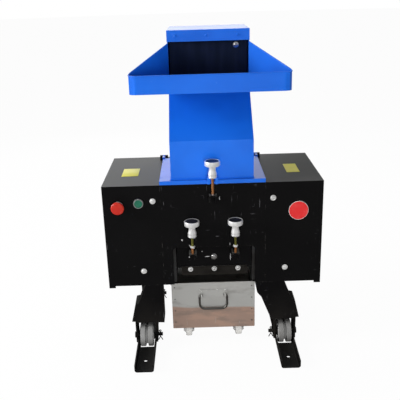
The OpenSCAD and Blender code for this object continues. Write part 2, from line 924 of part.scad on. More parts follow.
// Fan cover over the rear ends of the fins, with a slotted grille
module fan_cover(x1) {
    translate([-motor_l / 2, motor_y, motor_z]) rotate([0, 90, 0]) difference() {
        cylinder(h = x1 + motor_l / 2, r = motor_r);
        translate([0, 0, cover_t]) cylinder(h = motor_l, r = motor_r - cover_t);
        for (i = [0 : grille_n - 1])
            translate([(i - (grille_n - 1) / 2) * grille_pitch - grille_w / 2, -grille_l / 2, -over])
                cube([grille_w, grille_l, cover_t + 2 * over]);
    }
}

// Shelf under the motor, hung from the chamber sides
module motor_bracket() {
    color(black) {
        block([-side_x, shelf_y0, shelf_z], [side_x, shelf_y1, shelf_z + shelf_t]);
        for (s = [-1, 1]) difference() {
            block([s > 0 ? side_x - arm_t : -side_x, shelf_y0, shelf_z],
                [s > 0 ? side_x : -side_x + arm_t, shelf_y1, arm_top]);
            rod_x(-cab_w, cab_w, motor_y, motor_z, arm_hole);
        }
    }
}

module grooved(r, w) {
    step = w / groove_n;
    difference() {
        translate([0, -w / 2]) square([r, w]);
        for (i = [0 : groove_n - 1]) translate([r, (i - (groove_n - 1) / 2) * step])
            polygon([[over, -groove_w / 2 - over / 4], [over, groove_w / 2 + over / 4],
                [-groove_d, groove_in_w / 2], [-groove_d, -groove_in_w / 2]]);
    }
}

module driven_pulley() {
    color(castiron) translate([pulley_x + pulley_w / 2, rotor_y, rotor_z]) rotate([0, 90, 0]) difference() {
        rotate_extrude() difference() {
            grooved(driven_r, pulley_w);
            translate([0, -pulley_w]) square([shaft_r + fit, 2 * pulley_w]);
            for (e = [-1, 1]) translate([boss_r, e > 0 ? web_t / 2 : -pulley_w])
                square([driven_r - rim_t - boss_r, pulley_w - web_t / 2]);
        }
        for (i = [0 : spoke_n - 1]) rotate(360 * i / spoke_n)
            translate([(driven_r - rim_t + boss_r) / 2, 0, -pulley_w])
                cylinder(h = 2 * pulley_w, r = driven_r * spoke_hole_share);
    }
}

module flywheel() {
    color(castiron) translate([-pulley_x - fly_w / 2, rotor_y, rotor_z]) rotate([0, 90, 0]) rotate_extrude()
        difference() {
            translate([shaft_r + fit, -fly_w / 2]) square([fly_r - shaft_r - fit, fly_w]);
            for (e = [-1, 1]) translate([boss_r, e > 0 ? web_t / 2 : -fly_w])
                square([fly_r - fly_rim_t - boss_r, fly_w - web_t / 2]);
        }
}

module motor_pulley() {
    color(castiron) translate([pulley_x + pulley_w / 2, motor_y, motor_z]) rotate([0, 90, 0]) rotate_extrude()
        difference() {
            grooved(drive_r, pulley_w);
            translate([0, -pulley_w]) square([motor_shaft_r + fit, 2 * pulley_w]);
        }
}

module motor_shaft() {
    color(steel) rod_x(motor_l / 2 - motor_body_l - fan_gap, pulley_x + pulley_w, motor_y, motor_z,
        motor_shaft_r);
}

// Outline of a belt round both pulleys at the given radii
module loop(r1, r2) {
    d = [motor_y - rotor_y, motor_z - rotor_z];
    lie = atan2(d[1], d[0]);
    a = acos((r1 - r2) / norm(d));
    c1 = [rotor_y, rotor_z];
    c2 = [motor_y, motor_z];
    translate(c1) circle(r1);
    translate(c2) circle(r2);
    polygon([c1 + r1 * [cos(lie + a), sin(lie + a)], c2 + r2 * [cos(lie + a), sin(lie + a)],
        c2 + r2 * [cos(lie - a), sin(lie - a)], c1 + r1 * [cos(lie - a), sin(lie - a)]]);
}

module drive_belts() {
    in = groove_d - belt_lift;
    color(rubber) for (i = [0 : groove_n - 1])
        translate([pulley_x + pulley_w / 2 + (i - (groove_n - 1) / 2) * pulley_w / groove_n, 0, 0])
            along_x(-belt_w / 2, belt_w / 2) difference() {
                loop(driven_r - in + belt_t, drive_r - in + belt_t);
                loop(driven_r - in, drive_r - in);
            }
}

// Rotor

module rotor_shaft() {
    color(steel) rod_x(-shaft_l, shaft_l, rotor_y, rotor_z, shaft_r);
}

module rotor_frame() {
    translate([0, rotor_y, rotor_z]) rotate([rotor_turn, 0, 0]) children();
}

// Rotor body: a hub with one arm behind each knife
module rotor_core() {
    color(castiron) rotor_frame() along_x(-rotor_l / 2, rotor_l / 2) difference() {
        union() {
            circle(hub_r);
            for (i = [0 : knife_n - 1]) rotate(360 * i / knife_n)
                polygon([[0, -arm_w], [arm_r * arm_back_share, -arm_w], [arm_r, -arm_w * arm_tip_share],
                    [arm_r, 0], [0, 0]]);
        }
        circle(shaft_r + fit);
    }
}

// Bevelled knives on the leading faces of the arms, with their bolts
module rotor_knives() {
    rotor_frame() for (i = [0 : knife_n - 1]) rotate([360 * i / knife_n, 0, 0]) {
        color(steel) along_x(-rotor_l / 2, rotor_l / 2) polygon([[rotor_r - knife_in, 0],
            [sqrt(rotor_r * rotor_r - knife_t * knife_t) - knife_t * bevel_share, 0],
            [sqrt(rotor_r * rotor_r - knife_t * knife_t), knife_t], [rotor_r - knife_in, knife_t]]);
        color(grey) for (j = [0 : knife_bolts - 1])
            translate([(j - (knife_bolts - 1) / 2) * knife_bolt_pitch,
                rotor_r - knife_in * knife_bolt_share, knife_t + seat_gap])
                cylinder(h = bolt_head_h, r = bolt_head_r, $fn = 6);
    }
}

// Screen and its cradle

module screen() {
    a_step = screen_pitch / screen_r * 180 / PI;
    rows = floor((arc_a1 - arc_a0) / a_step) - 1;
    cols = floor(cradle_w / screen_pitch) - 1;
    color(steel) translate([0, rotor_y, rotor_z]) difference() {
        along_x(-cradle_w / 2, cradle_w / 2) difference() {
            circle(screen_ro);
            circle(screen_r);
            polygon(sector(screen_ro, arc_a1 - 360, arc_a0));
        }
        for (i = [0 : rows - 1], j = [0 : cols - 1])
            rotate([(arc_a0 + arc_a1) / 2 + (i - (rows - 1) / 2) * a_step, 0, 0])
                translate([(j - (cols - 1) / 2) * screen_pitch, screen_r - over, 0]) rotate([-90, 0, 0])
                    cylinder(h = screen_t + 2 * over, r = screen_hole / 2);
    }
}

// Cradle: three arcs, ties, front apron with lugs, and the hinge pin behind
module screen_cradle() {
    color(black) {
        for (x = [-cradle_w / 2, -arc_t / 2, cradle_w / 2 - arc_t]) along_x(x, x + arc_t) {
            translate([rotor_y, rotor_z]) difference() {
                circle(arc_ro);
                circle(screen_ro + fit);
                polygon(sector(arc_ro, arc_a1 - 360, arc_a0));
            }
            difference() {
                hull() {
                    translate([pin_y, pin_z]) circle(ear_r, $fn = 32);
                    translate([rotor_y, rotor_z]) rotate(arc_a1 - 18) translate([arc_ro - 4 * over, 0])
                        circle(ear_r / 3, $fn = 32);
                }
                translate([rotor_y, rotor_z]) circle(screen_ro + fit);
            }
            difference() {
                translate([apron_y, apron_z0]) square([rotor_y - apron_y, apron_z1 - apron_z0]);
                translate([rotor_y, rotor_z]) circle(screen_ro + fit);
                polygon([[apron_y + 2 * apron_t, apron_z0 - over], [rotor_y + over, apron_z0 - over],
                    [rotor_y + over, rotor_z - arc_ro + 2 * over],
                        [rotor_y - arc_ro * 0.4, rotor_z - arc_ro * 0.85]]);
            }
        }
        block([-cradle_w / 2, apron_y, apron_z0], [cradle_w / 2, apron_y + apron_t, apron_z1]);
        both_sides() for (s = [-1, 1])
            along_x(clamp_x + s * (lug_gap + lug_t / 2) - lug_t / 2,
                clamp_x + s * (lug_gap + lug_t / 2) + lug_t / 2)
                foot_seat(front_y - clamp_y, clamp_z - clamp_drop, apron_y, lug_nose, lug_h);
        rod_x(-side_xo - over, side_xo + over, pin_y, pin_z, pin_r);
    }
}

// Lip screwed to the apron's lower edge; it leans out a little over the bin
module discharge_lip() {
    color(castiron) along_x(-lip_w / 2, lip_w / 2)
        polygon(band([[apron_y, lip_z1], [apron_y, apron_z0], [apron_y - lip_lean, lip_z0]], -lip_t));
    color(steel) for (x = [-lip_screw_x, 0, lip_screw_x])
        front_screw(x, apron_y - lip_t - lip_lean / 2 - seat_gap, lip_screw_z, screw_r, screw_h);
    color(steel) front_screw(0, apron_y, dome_z, dome_r, dome_h);
}

// Hopper

module hopper_flange() {
    color(blue) {
        difference() {
            block([-centre_w / 2, front_y, top_z], [centre_w / 2, flange_y1, flange_z]);
            block([-chute_x + hopper_t, chute_y0 + hopper_t, top_z - over],
                [chute_x - hopper_t, chute_y1 - hopper_t, flange_z + over]);
        }
        for (s = [-1, 1]) block([s * fork_w / 2 - (s > 0 ? fork_tine : 0), front_y - top_clamp_y,
            top_z + top_clamp_h - fork_h],
            [s * fork_w / 2 + (s < 0 ? fork_tine : 0), front_y, top_z + top_clamp_h]);
    }
}

front_path = [[chute_y0, flange_z], [chute_y0, bend_z], [mouth_y, mouth_z], [hood_y, mouth_z]];
rear_path = [[chute_y1, flange_z], [chute_y1, bend_z], [hood_y1, mouth_z + hood_drop],
    [hood_y1, hood_z], [hood_y, hood_z]];

// Chute and hood, folded and welded from sheet; the mouth is open to the front
module hopper_chute() {
    outline = concat(front_path, [for (i = [len(rear_path) - 1 : -1 : 0]) rear_path[i]]);
    color(blue) {
        along_x(-chute_x, chute_x) polygon(band(front_path, -hopper_t));
        along_x(-chute_x, chute_x) polygon(band(rear_path, hopper_t));
        for (x = [-chute_x, chute_x - hopper_t]) along_x(x, x + hopper_t) polygon(outline);
    }
}

// Plan outline of the tray's upright wall, from the left wing to the right one
tray_path = rounded([[-chute_x, hood_y], [-tray_w / 2, lip_y], [tray_w / 2, lip_y], [chute_x, hood_y]],
    tray_r);

module feed_tray() {
    color(blue) {
        intersection() {
            along_z(mouth_z - over, mouth_z + wing_h + over) polygon(band(tray_path, hopper_t));
            along_x(-tray_w, tray_w) polygon([[hood_y, mouth_z], [lip_y, lip_z], [lip_y, lip_z + lip_h],
                [lip_y + lip_run, lip_z + lip_h], [hood_y, mouth_z + wing_h]]);
        }
        intersection() {
            along_z(mouth_z - over, lip_z + lip_h) polygon(tray_path);
            along_x(-tray_w, tray_w) polygon([[hood_y, mouth_z], [hood_y, mouth_z + hopper_t],
                [lip_y, lip_z + hopper_t], [lip_y, lip_z]]);
        }
    }
}

module curtain_strip() {
    color(blue) block([-strip_x, hood_y - strip_t, hood_z - strip_h], [strip_x, hood_y, hood_z]);
    color(steel) for (x = [-strip_screw_x, 0, strip_screw_x])
        front_screw(strip_screw_shift + x, hood_y - strip_t - seat_gap, hood_z - strip_h / 2,
            screw_r * strip_screw_share, screw_h * strip_screw_share);
}

// Rubber curtain on its rod behind the strip
module rubber_curtain() {
    color(rubber) {
        block([-curtain_w / 2, curtain_y - curtain_t / 2, curtain_z - curtain_h],
            [curtain_w / 2, curtain_y + curtain_t / 2, curtain_z]);
        rod_x(-chute_x + hopper_t + rest_gap, chute_x - hopper_t - rest_gap, curtain_y, curtain_z,
            curtain_rod_r);
    }
}

// Fixed halves of the hinges: two knuckles with the pin through them
module hopper_hinges() {
    color(castiron) both_sides() {
        knuckle = hinge_w / 3;
        for (i = [0, 2]) difference() {
            union() {
                rod_x(hinge_x + i * knuckle, hinge_x + (i + 1) * knuckle - rest_gap, hinge_ay, hinge_az,
                    hinge_r);
                block([hinge_x + i * knuckle, hinge_ay - hinge_r, top_z],
                    [hinge_x + (i + 1) * knuckle - rest_gap, hinge_ay + hinge_r, hinge_az]);
            }
            rod_x(hinge_x - over, hinge_x + hinge_w + over, hinge_ay, hinge_az, pin_hinge_r + fit);
        }
        block([hinge_x, hinge_ay - hinge_r, top_z],
            [hinge_x + hinge_w, hinge_ay + 3 * hinge_r, top_z + leaf_t]);
    }
}

module hinge_leaves() {
    knuckle = hinge_w / 3;
    color(castiron) both_sides() {
        rod_x(hinge_x, hinge_x + hinge_w, hinge_ay, hinge_az, pin_hinge_r);
        rod_x(hinge_x + knuckle, hinge_x + 2 * knuckle - rest_gap, hinge_ay, hinge_az, hinge_r);
        block([hinge_x + knuckle, flange_y1 - leaf_t, flange_z],
            [hinge_x + 2 * knuckle - rest_gap, hinge_ay, flange_z + leaf_t]);
    }
}

// Clamps

// Rod with a cross foot at its lower end and a nut under the seat
module clamp_bolt(x, y, z, drop, nut) {
    color(copper) translate([x, y, z]) {
        translate([0, 0, -drop]) cylinder(h = drop + knob_h * rod_in_share, r = rod_r);
        rod_x(-foot_l / 2, foot_l / 2, 0, -drop, foot_r);
        if (nut) translate([0, 0, -drop * nut_place_share])
            cylinder(h = rod_r * nut_h_share, r = rod_r * nut_r_share, $fn = 6);
    }
}

// Round knob: collar below, waist, flare and a broad disc
module clamp_knob(x, y, z) {
    color(steel) translate([x, y, z]) difference() {
        rotate_extrude()
            polygon(concat(sized(collar_shares, collar_r, knob_h), sized(disc_shares, knob_r, knob_h)));
        translate([0, 0, -over]) cylinder(h = knob_h * knob_bore_share + over, r = rod_r + fit);
    }
}

// Bin

module bin_shell() {
    color(inox) {
        difference() {
            block([bin_x0, bin_y0, bin_lift], [bin_x1, bin_y1, bin_z1]);
            block([bin_x0 + bin_t, bin_y0 + bin_t, bin_lift + bin_t],
                [bin_x1 - bin_t, bin_y1 - bin_t, bin_z1 + over]);
        }
        for (s = [-1, 1]) {
            block([s > 0 ? bin_x1 : bin_x0 - rim_w, bin_y0, bin_z1 - rim_h],
                [s > 0 ? bin_x1 + rim_w : bin_x0, bin_y1, bin_z1]);
        }
    }
}

// Handle plate with its rivets and the two ears of the handle
module handle_plate() {
    y = bin_y0 - handle_plate_t;
    color(inox) {
        block([bin_shift - handle_w / 2, y, handle_z - plate_low],
            [bin_shift + handle_w / 2, bin_y0, handle_z - plate_low + handle_h]);
        for (i = [0 : rivet_n - 1])
            front_screw(bin_shift + (handle_w - 2 * rivet_in) * (i / (rivet_n - 1) - 0.5), y,
                handle_z + rivet_rise, rivet_r, rivet_h);
        for (s = [-1, 1]) difference() {
            union() {
                rod_x(bin_shift + s * handle_x - handle_ear_t / 2,
                    bin_shift + s * handle_x + handle_ear_t / 2,
                    y - handle_out, handle_z, handle_ear_r);
                block([bin_shift + s * handle_x - handle_ear_t / 2, y - handle_out, handle_z - handle_ear_r],
                    [bin_shift + s * handle_x + handle_ear_t / 2, y, handle_z + handle_ear_r]);
            }
            rod_x(bin_x0, bin_x1, y - handle_out, handle_z, handle_r + fit);
        }
    }
}

// Wire handle: two pivots turned inwards through the ears, two arms, round corners and a grip
module bin_handle() {
    y = bin_y0 - handle_plate_t - handle_out;
    arm_x = handle_x + handle_ear_t / 2 + handle_r + rest_gap;
    grip_x = arm_x - handle_bend;
    color(inox) translate([bin_shift, y, handle_z]) {
        both_sides() {
            rod_x(handle_x - handle_ear_t, arm_x, 0, 0, handle_r);
            translate([arm_x, 0, 0]) sphere(handle_r);
            translate([arm_x, 0, handle_bend - handle_drop])
                cylinder(h = handle_drop - handle_bend, r = handle_r);
            intersection() {
                translate([grip_x, 0, handle_bend - handle_drop]) rotate([90, 0, 0]) rotate_extrude()
                    translate([handle_bend, 0]) circle(handle_r);
                block([grip_x, -handle_bend, -handle_drop - handle_bend],
                    [arm_x + handle_bend, handle_bend, handle_bend - handle_drop]);
            }
        }
        rod_x(-grip_x, grip_x, 0, -handle_drop, handle_r);
    }
}

function caster_at(s, e) = [bin_shift + s * caster_x,
    (bin_y0 + bin_y1) / 2 + e * (bin_d / 2 - caster_y), caster_r + caster_clear];

module caster_forks() {
    color(steel) for (s = [-1, 1], e = [-1, 1]) translate(caster_at(s, e)) {
        top = bin_lift - caster_r - caster_clear;
        block([-caster_plate / 2, -caster_plate / 2, top - caster_plate_t],
            [caster_plate / 2, caster_plate / 2, top]);
        for (q = [-1, 1]) along_x(q * (caster_w / 2 + over + caster_cheek / 2) - caster_cheek / 2,
                q * (caster_w / 2 + over + caster_cheek / 2) + caster_cheek / 2)
            polygon([[-caster_r * fork_top_share, top - caster_plate_t],
                [-caster_r * fork_low_share, -caster_r * fork_low_share],
                [caster_r * fork_low_share, -caster_r * fork_low_share],
                    [caster_r * fork_top_share, top - caster_plate_t]]);
        rod_x(-caster_w / 2 - over - 2 * caster_cheek, caster_w / 2 + over + 2 * caster_cheek, 0, 0,
            caster_pin_r);
    }
}

module caster_wheel(s, e) {
    color([0.9, 0.9, 0.88]) translate(caster_at(s, e)) rotate([0, 90, 0]) rotate_extrude()
        polygon([[caster_pin_r + fit, -caster_w / 2], [caster_r * caster_rim_share, -caster_w / 2],
            [caster_r, -caster_w * caster_flat_share], [caster_r, caster_w * caster_flat_share],
            [caster_r * caster_rim_share, caster_w / 2], [caster_pin_r + fit, caster_w / 2]]);
}

// Controls

// Contactor box on the left cover, contact blocks and rings of both buttons
module control_gear() {
    color(grey) block([-cab_w / 2 + cover_t, box_y0, cab_lift + box_z0],
        [-cab_w / 2 + cover_t + box_x, box_y1, cab_lift + box_z1]);
    for (p = [[-stop_x, stop_z, neck_bore], [-start_x, start_z, start_r + fit]]) {
        color(steel) difference() {
            union() {
                rod_y(front_y - ring_h, front_y, p[0], p[1], ring_r);
                rod_y(front_y, front_y + cover_t + neck_l, p[0], p[1], neck_r);
            }
            rod_y(front_y - ring_h - over, front_y + cover_t + neck_l + over, p[0], p[1], neck_bore);
            rod_y(front_y - ring_h - over, front_y - ring_floor, p[0], p[1], p[2]);
        }
        color(grey) difference() {
            block([p[0] - block_r, front_y + cover_t, p[1] - block_r],
                [p[0] + block_r, front_y + cover_t + block_l, p[1] + block_r]);
            rod_y(front_y, front_y + cover_t + block_l / 2, p[0], p[1], neck_r + fit);
        }
    }
}

module stop_button() {
    color([0.85, 0.1, 0.1]) translate([-stop_x, front_y - ring_h, stop_z]) rotate([90, 0, 0]) {
        translate([0, 0, stop_out - stop_cap]) rotate_extrude() polygon(sized(stop_shares, stop_r, stop_cap));
        translate([0, 0, -ring_h]) cylinder(h = stop_out - stop_cap + ring_h + over, r = neck_bore - fit);
    }
}

// Flat head inside its ring, with a stem through the neck
module start_button() {
    color([0.1, 0.6, 0.3]) {
        rod_y(front_y - ring_h - start_out, front_y - ring_h - start_out + start_t, -start_x, start_z,
            start_r);
        rod_y(front_y - ring_h, front_y, -start_x, start_z, neck_bore - fit);
    }
}

front_plate();
rear_panel();
top_plate();
chamber_side(-1);  // chamber_side_left
chamber_side(1);  // chamber_side_right
chamber_walls();
fixed_knives();
bearings();
base_plates();
left_cover();
right_cover();
panel_screws();
rail(-1);  // left_rail
rail(1);  // right_rail
front_left_leg();
front_right_leg();
rear_left_leg();
rear_right_leg();
wheel_pins();
motor_housing();
motor_bracket();
control_gear();
hopper_hinges();
drive_belts();
hopper_flange();
hopper_chute();
feed_tray();
curtain_strip();
hinge_leaves();
rubber_curtain();
clamp_bolt(0, front_y - top_clamp_y, top_z + top_clamp_h, top_clamp_h + top_clamp_drop, false);  // top_bolt
clamp_bolt(-clamp_x, front_y - clamp_y, clamp_z, clamp_drop, true);  // left_bolt
clamp_bolt(clamp_x, front_y - clamp_y, clamp_z, clamp_drop, true);  // right_bolt
clamp_knob(0, front_y - top_clamp_y, top_z + top_clamp_h);  // top_knob
clamp_knob(-clamp_x, front_y - clamp_y, clamp_z);  // left_knob
clamp_knob(clamp_x, front_y - clamp_y, clamp_z);  // right_knob
screen_cradle();
screen();
discharge_lip();
bin_shell();
handle_plate();
bin_handle();
caster_forks();
caster_wheel(-1, -1);  // caster_wheel_fl
caster_wheel(1, -1);  // caster_wheel_fr
caster_wheel(-1, 1);  // caster_wheel_rl
caster_wheel(1, 1);  // caster_wheel_rr
rotor_shaft();
rotor_core();
rotor_knives();
driven_pulley();
flywheel();
wheel(-1, -1);  // wheel_fl
wheel(1, -1);  // wheel_fr
wheel(-1, 1);  // wheel_rl
wheel(1, 1);  // wheel_rr
motor_shaft();
motor_pulley();
stop_button();
start_button();
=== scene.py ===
"""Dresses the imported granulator: paint, metal, rubber, and the small pieces that the solids leave out."""

import logging
import math
from dataclasses import dataclass, field
from enum import Enum
from typing import Callable, Sequence

import bpy
from mathutils import Matrix, Vector

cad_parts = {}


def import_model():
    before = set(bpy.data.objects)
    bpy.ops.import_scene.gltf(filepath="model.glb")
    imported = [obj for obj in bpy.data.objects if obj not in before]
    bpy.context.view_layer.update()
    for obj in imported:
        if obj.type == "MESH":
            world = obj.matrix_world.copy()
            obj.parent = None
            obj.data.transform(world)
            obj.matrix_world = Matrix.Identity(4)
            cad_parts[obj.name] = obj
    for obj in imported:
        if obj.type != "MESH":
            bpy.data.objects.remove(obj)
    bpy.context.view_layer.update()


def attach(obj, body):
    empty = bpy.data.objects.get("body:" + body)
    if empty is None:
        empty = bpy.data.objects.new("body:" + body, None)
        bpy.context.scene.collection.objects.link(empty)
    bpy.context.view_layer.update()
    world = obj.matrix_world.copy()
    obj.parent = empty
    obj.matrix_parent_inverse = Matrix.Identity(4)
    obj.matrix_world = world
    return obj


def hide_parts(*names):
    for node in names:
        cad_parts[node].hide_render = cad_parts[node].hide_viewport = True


LOG = logging.getLogger("granulator")
MM = 0.001
SMOOTH = math.radians(38)
BEAD_SMOOTH = math.radians(50)
SAME_WAY = 0.98
WELD = 1e-6
FORWARD, BACKWARD, UP, DOWN = (0, -1, 0), (0, 1, 0), (0, 0, 1), (0, 0, -1)
CORNERS = (("fl", -1, -1), ("fr", 1, -1), ("rl", -1, 1), ("rr", 1, 1))
Point = Sequence[float]
Pair = tuple[float, float]
Triple = tuple[float, float, float]
Piece = bpy.types.Object


class Axis(Enum):
    """The three directions that a turned or drawn piece can lie along."""

    X = (1.0, 0.0, 0.0)
    Y = (0.0, 1.0, 0.0)
    Z = (0.0, 0.0, 1.0)


class Side(Enum):
    """Left and right of the machine, seen from its front."""

    LEFT = -1
    RIGHT = 1


# Shader graph


def sign(operation: str, swapped: bool = False) -> Callable[["Link", object], "Link"]:
    """Makes the method of an arithmetic sign.

    Args:
        operation: the Math node's operation.
        swapped: whether the other value comes first.

    Returns:
        The method.
    """
    def apply(link: "Link", other: object) -> "Link":
        """Adds the Math node and returns its result."""
        first, second = (other, link) if swapped else (link, other)
        return link.graph.node("ShaderNodeMath", {"operation": operation}, {0: first, 1: second})

    return apply


@dataclass(frozen=True)
class Link:
    """A socket of a material's graph that takes part in Python expressions."""

    graph: "Graph"
    socket: bpy.types.NodeSocket

    __add__, __radd__ = sign("ADD"), sign("ADD", True)
    __sub__, __rsub__ = sign("SUBTRACT"), sign("SUBTRACT", True)
    __mul__, __rmul__ = sign("MULTIPLY"), sign("MULTIPLY", True)
    __truediv__ = sign("DIVIDE")


class Graph:
    """The node graph of one material, ending in a Principled surface."""

    def __init__(self, name: str) -> None:
        """Starts an empty graph.

        Args:
            name: name of the material.
        """
        self.material = bpy.data.materials.new(name)
        self.material.use_nodes = True
        self.tree = self.material.node_tree
        self.tree.nodes.clear()
        self._coords: Link | None = None

    def node(self, kind: str, settings: dict[str, object] | None = None,
             inputs: dict[object, object] | None = None, output: object = 0) -> Link:
        """Adds one node.

        Args:
            kind: the node's type.
            settings: properties of the node, set before its sockets; "stops" sets a ramp.
            inputs: value or Link for each input, by name or number.
            output: name or number of the output that is returned.

        Returns:
            The chosen output.
        """
        made = self.tree.nodes.new(kind)
        for key, value in (settings or {}).items():
            if key == "stops":
                self._fill_ramp(made.color_ramp, value)
            else:
                setattr(made, key, value)
        for key, value in (inputs or {}).items():
            socket = made.inputs[key]
            if isinstance(value, Link):
                self.tree.links.new(value.socket, socket)
            else:
                socket.default_value = value
        return Link(self, made.outputs[output])

    @staticmethod
    def _fill_ramp(ramp: bpy.types.ColorRamp, stops: object) -> None:
        """Sets a colour ramp's stops from (place, colour) pairs."""
        while len(ramp.elements) < len(stops):
            ramp.elements.new(0.5)
        for element, (place, colour) in zip(ramp.elements, stops):
            element.position = place
            element.color = (*colour, 1.0)

    def place(self) -> Link:
        """Object coordinates of the surface point."""
        if self._coords is None:
            self._coords = self.node("ShaderNodeTexCoord", output="Object")
        return self._coords

    def stretched(self, scale: Point) -> Link:
        """Object coordinates scaled along each axis."""
        return self.node("ShaderNodeMapping", None, {"Vector": self.place(), "Scale": tuple(scale)})

    def axis(self, index: int) -> Link:
        """One coordinate of the surface point, in metres."""
        return self.node("ShaderNodeSeparateXYZ", None, {0: self.place()}, index)

    def facing(self, index: int) -> Link:
        """One coordinate of the surface's normal."""
        normal = self.node("ShaderNodeNewGeometry", output="Normal")
        return self.node("ShaderNodeSeparateXYZ", None, {0: normal}, index)

    def noise(self, scale: float, detail: float = 3.0, stretch: Point = (1, 1, 1),
              rough: float = 0.55) -> Link:
        """Soft noise from 0 to 1.

        Args:
            scale: patches per metre.
            detail: number of finer octaves.
            stretch: scale of the pattern along each axis.
            rough: weight of the finer octaves.

        Returns:
            The noise value.
        """
        return self.node("ShaderNodeTexNoise", None, {"Vector": self.stretched(stretch), "Scale": scale,
                                                      "Detail": detail, "Roughness": rough}, "Fac")

    def step(self, value: Link, low: float, high: float) -> Link:
        """Smooth step of a value from 0 at low to 1 at high."""
        return self.node("ShaderNodeMapRange", {"interpolation_type": "SMOOTHSTEP"},
                         {"Value": value, "From Min": low, "From Max": high, "To Min": 0.0, "To Max": 1.0})

    def mix(self, share: object, first: object, second: object) -> Link:
        """Colour between first and second."""
        def colour(value: object) -> object:
            """A plain colour with its alpha."""
            return value if isinstance(value, Link) else (*value, 1.0)

        return self.node("ShaderNodeMix", {"data_type": "RGBA", "clamp_factor": True},
                         {0: share, 6: colour(first), 7: colour(second)}, 2)

    def worn_edge(self, radius: float = 0.0012) -> Link:
        """Mask that is 1 on sharp edges, from the difference of two normals."""
        soft = self.node("ShaderNodeBevel", {"samples": 4}, {"Radius": radius})
        hard = self.node("ShaderNodeNewGeometry", output="Normal")
        same = self.node("ShaderNodeVectorMath", {"operation": "DOT_PRODUCT"}, {0: soft, 1: hard}, "Value")
        return self.step(1.0 - same, 0.02, 0.22)

    def bump(self, height: Link, strength: float, depth: float, edge: float = 0.0006) -> Link:
        """Normal from a height pattern over softly rounded edges.

        Args:
            height: the height pattern.
            strength: weight of the bump.
            depth: height in metres of a value of 1.
            edge: radius of the rounded edges.

        Returns:
            The normal.
        """
        base = self.node("ShaderNodeBevel", {"samples": 4}, {"Radius": edge})
        return self.node("ShaderNodeBump", None, {"Height": height, "Strength": strength, "Distance": depth,
                                                  "Normal": base}, "Normal")

    def surface(self, sockets: dict[str, object]) -> bpy.types.Material:
        """Ends the graph in a Principled surface.

        Args:
            sockets: value or Link for each of its inputs.

        Returns:
            The finished material.
        """
        plain = {key: (*value, 1.0) if isinstance(value, tuple) and len(value) == 3 else value
                 for key, value in sockets.items()}
        shader = self.node("ShaderNodeBsdfPrincipled", None, plain, "BSDF")
        out = self.tree.nodes.new("ShaderNodeOutputMaterial")
        self.tree.links.new(shader.socket, out.inputs["Surface"])
        return self.material


# Finishes


@dataclass(frozen=True)
class Finish:
    """A finish that is made once and shared by all pieces that have it."""

    name: str

    def build(self) -> bpy.types.Material:
        """Makes the material."""
        raise NotImplementedError

    def material(self) -> bpy.types.Material:
        """The material, made at its first use."""
        return bpy.data.materials.get(self.name) or self.build()


@dataclass(frozen=True)
class BlackPaint(Finish):
    """Satin black paint on sheet steel, with handling marks, scratches, worn edges, and upward faces
    lightened partly by dust and partly by a painted sheen.
    """

    colour: Triple = (0.003, 0.0029, 0.0032)
    # Colour that upward faces turn towards: partly settled dust, partly a painted sheen.
    dust_and_sheen: Triple = (0.088, 0.088, 0.082)
    scuff: float = 0.5
    dirt: float = 0.0
    roughness: float = 0.42
    chips: tuple[tuple[float, float, float, float], ...] = ()

    def build(self) -> bpy.types.Material:
        """Makes the paint.

        Returns:
            The material.
        """
        g = Graph(self.name)
        cloud = g.noise(7.0, 4.0)
        fine = g.noise(900.0, 1.0)
        upward = g.step(g.facing(2), 0.55, 0.95)
        streak = g.step(g.noise(38.0, 2.0, (9.0, 9.0, 0.55)), 0.67, 0.74)
        cross = g.step(g.noise(30.0, 2.0, (0.7, 1.0, 11.0)), 0.69, 0.76)
        patch = g.step(g.noise(11.0, 2.0), 0.5, 0.66)
        marks = (streak + cross) * patch * self.scuff
        wear = g.worn_edge() * g.step(g.noise(60.0, 4.0), 0.5, 0.72)
        low = g.step(0.24 - g.axis(2), 0.0, 0.2) * g.step(cloud, 0.35, 0.7) * self.dirt
        # Upward faces are lightened here, partly as dust and partly as a painted sheen on top.
        tint = g.mix(upward * (0.55 + 0.5 * cloud), self.colour, self.dust_and_sheen)
        tint = g.mix(cloud * 0.4, tint, g.mix(0.05, tint, self.dust_and_sheen))
        tint = g.mix(marks, tint, (0.17, 0.17, 0.18))
        tint = g.mix(low, tint, (0.024, 0.021, 0.018))
        tint = g.mix(wear * 0.55, tint, (0.21, 0.2, 0.19))
        ragged = g.noise(420.0, 2.0)
        for x, z, wide, high in self.chips:
            across = (g.axis(0) - x * MM) / (wide * MM)
            upward_by = (g.axis(2) - z * MM) / (high * MM)
            far = across * across + upward_by * upward_by + ragged * 0.9
            tint = g.mix(g.step(1.0 - far, 0.0, 0.25) * 0.8, tint, (0.5, 0.5, 0.5))
        rough = self.roughness + 0.16 * cloud + 0.25 * marks + 0.2 * low
        return g.surface({"Base Color": tint, "Roughness": rough, "Specular IOR Level": 0.08,
                          "Normal": g.bump(fine * 0.4 + cloud * 0.6, 0.25, 0.0004)})


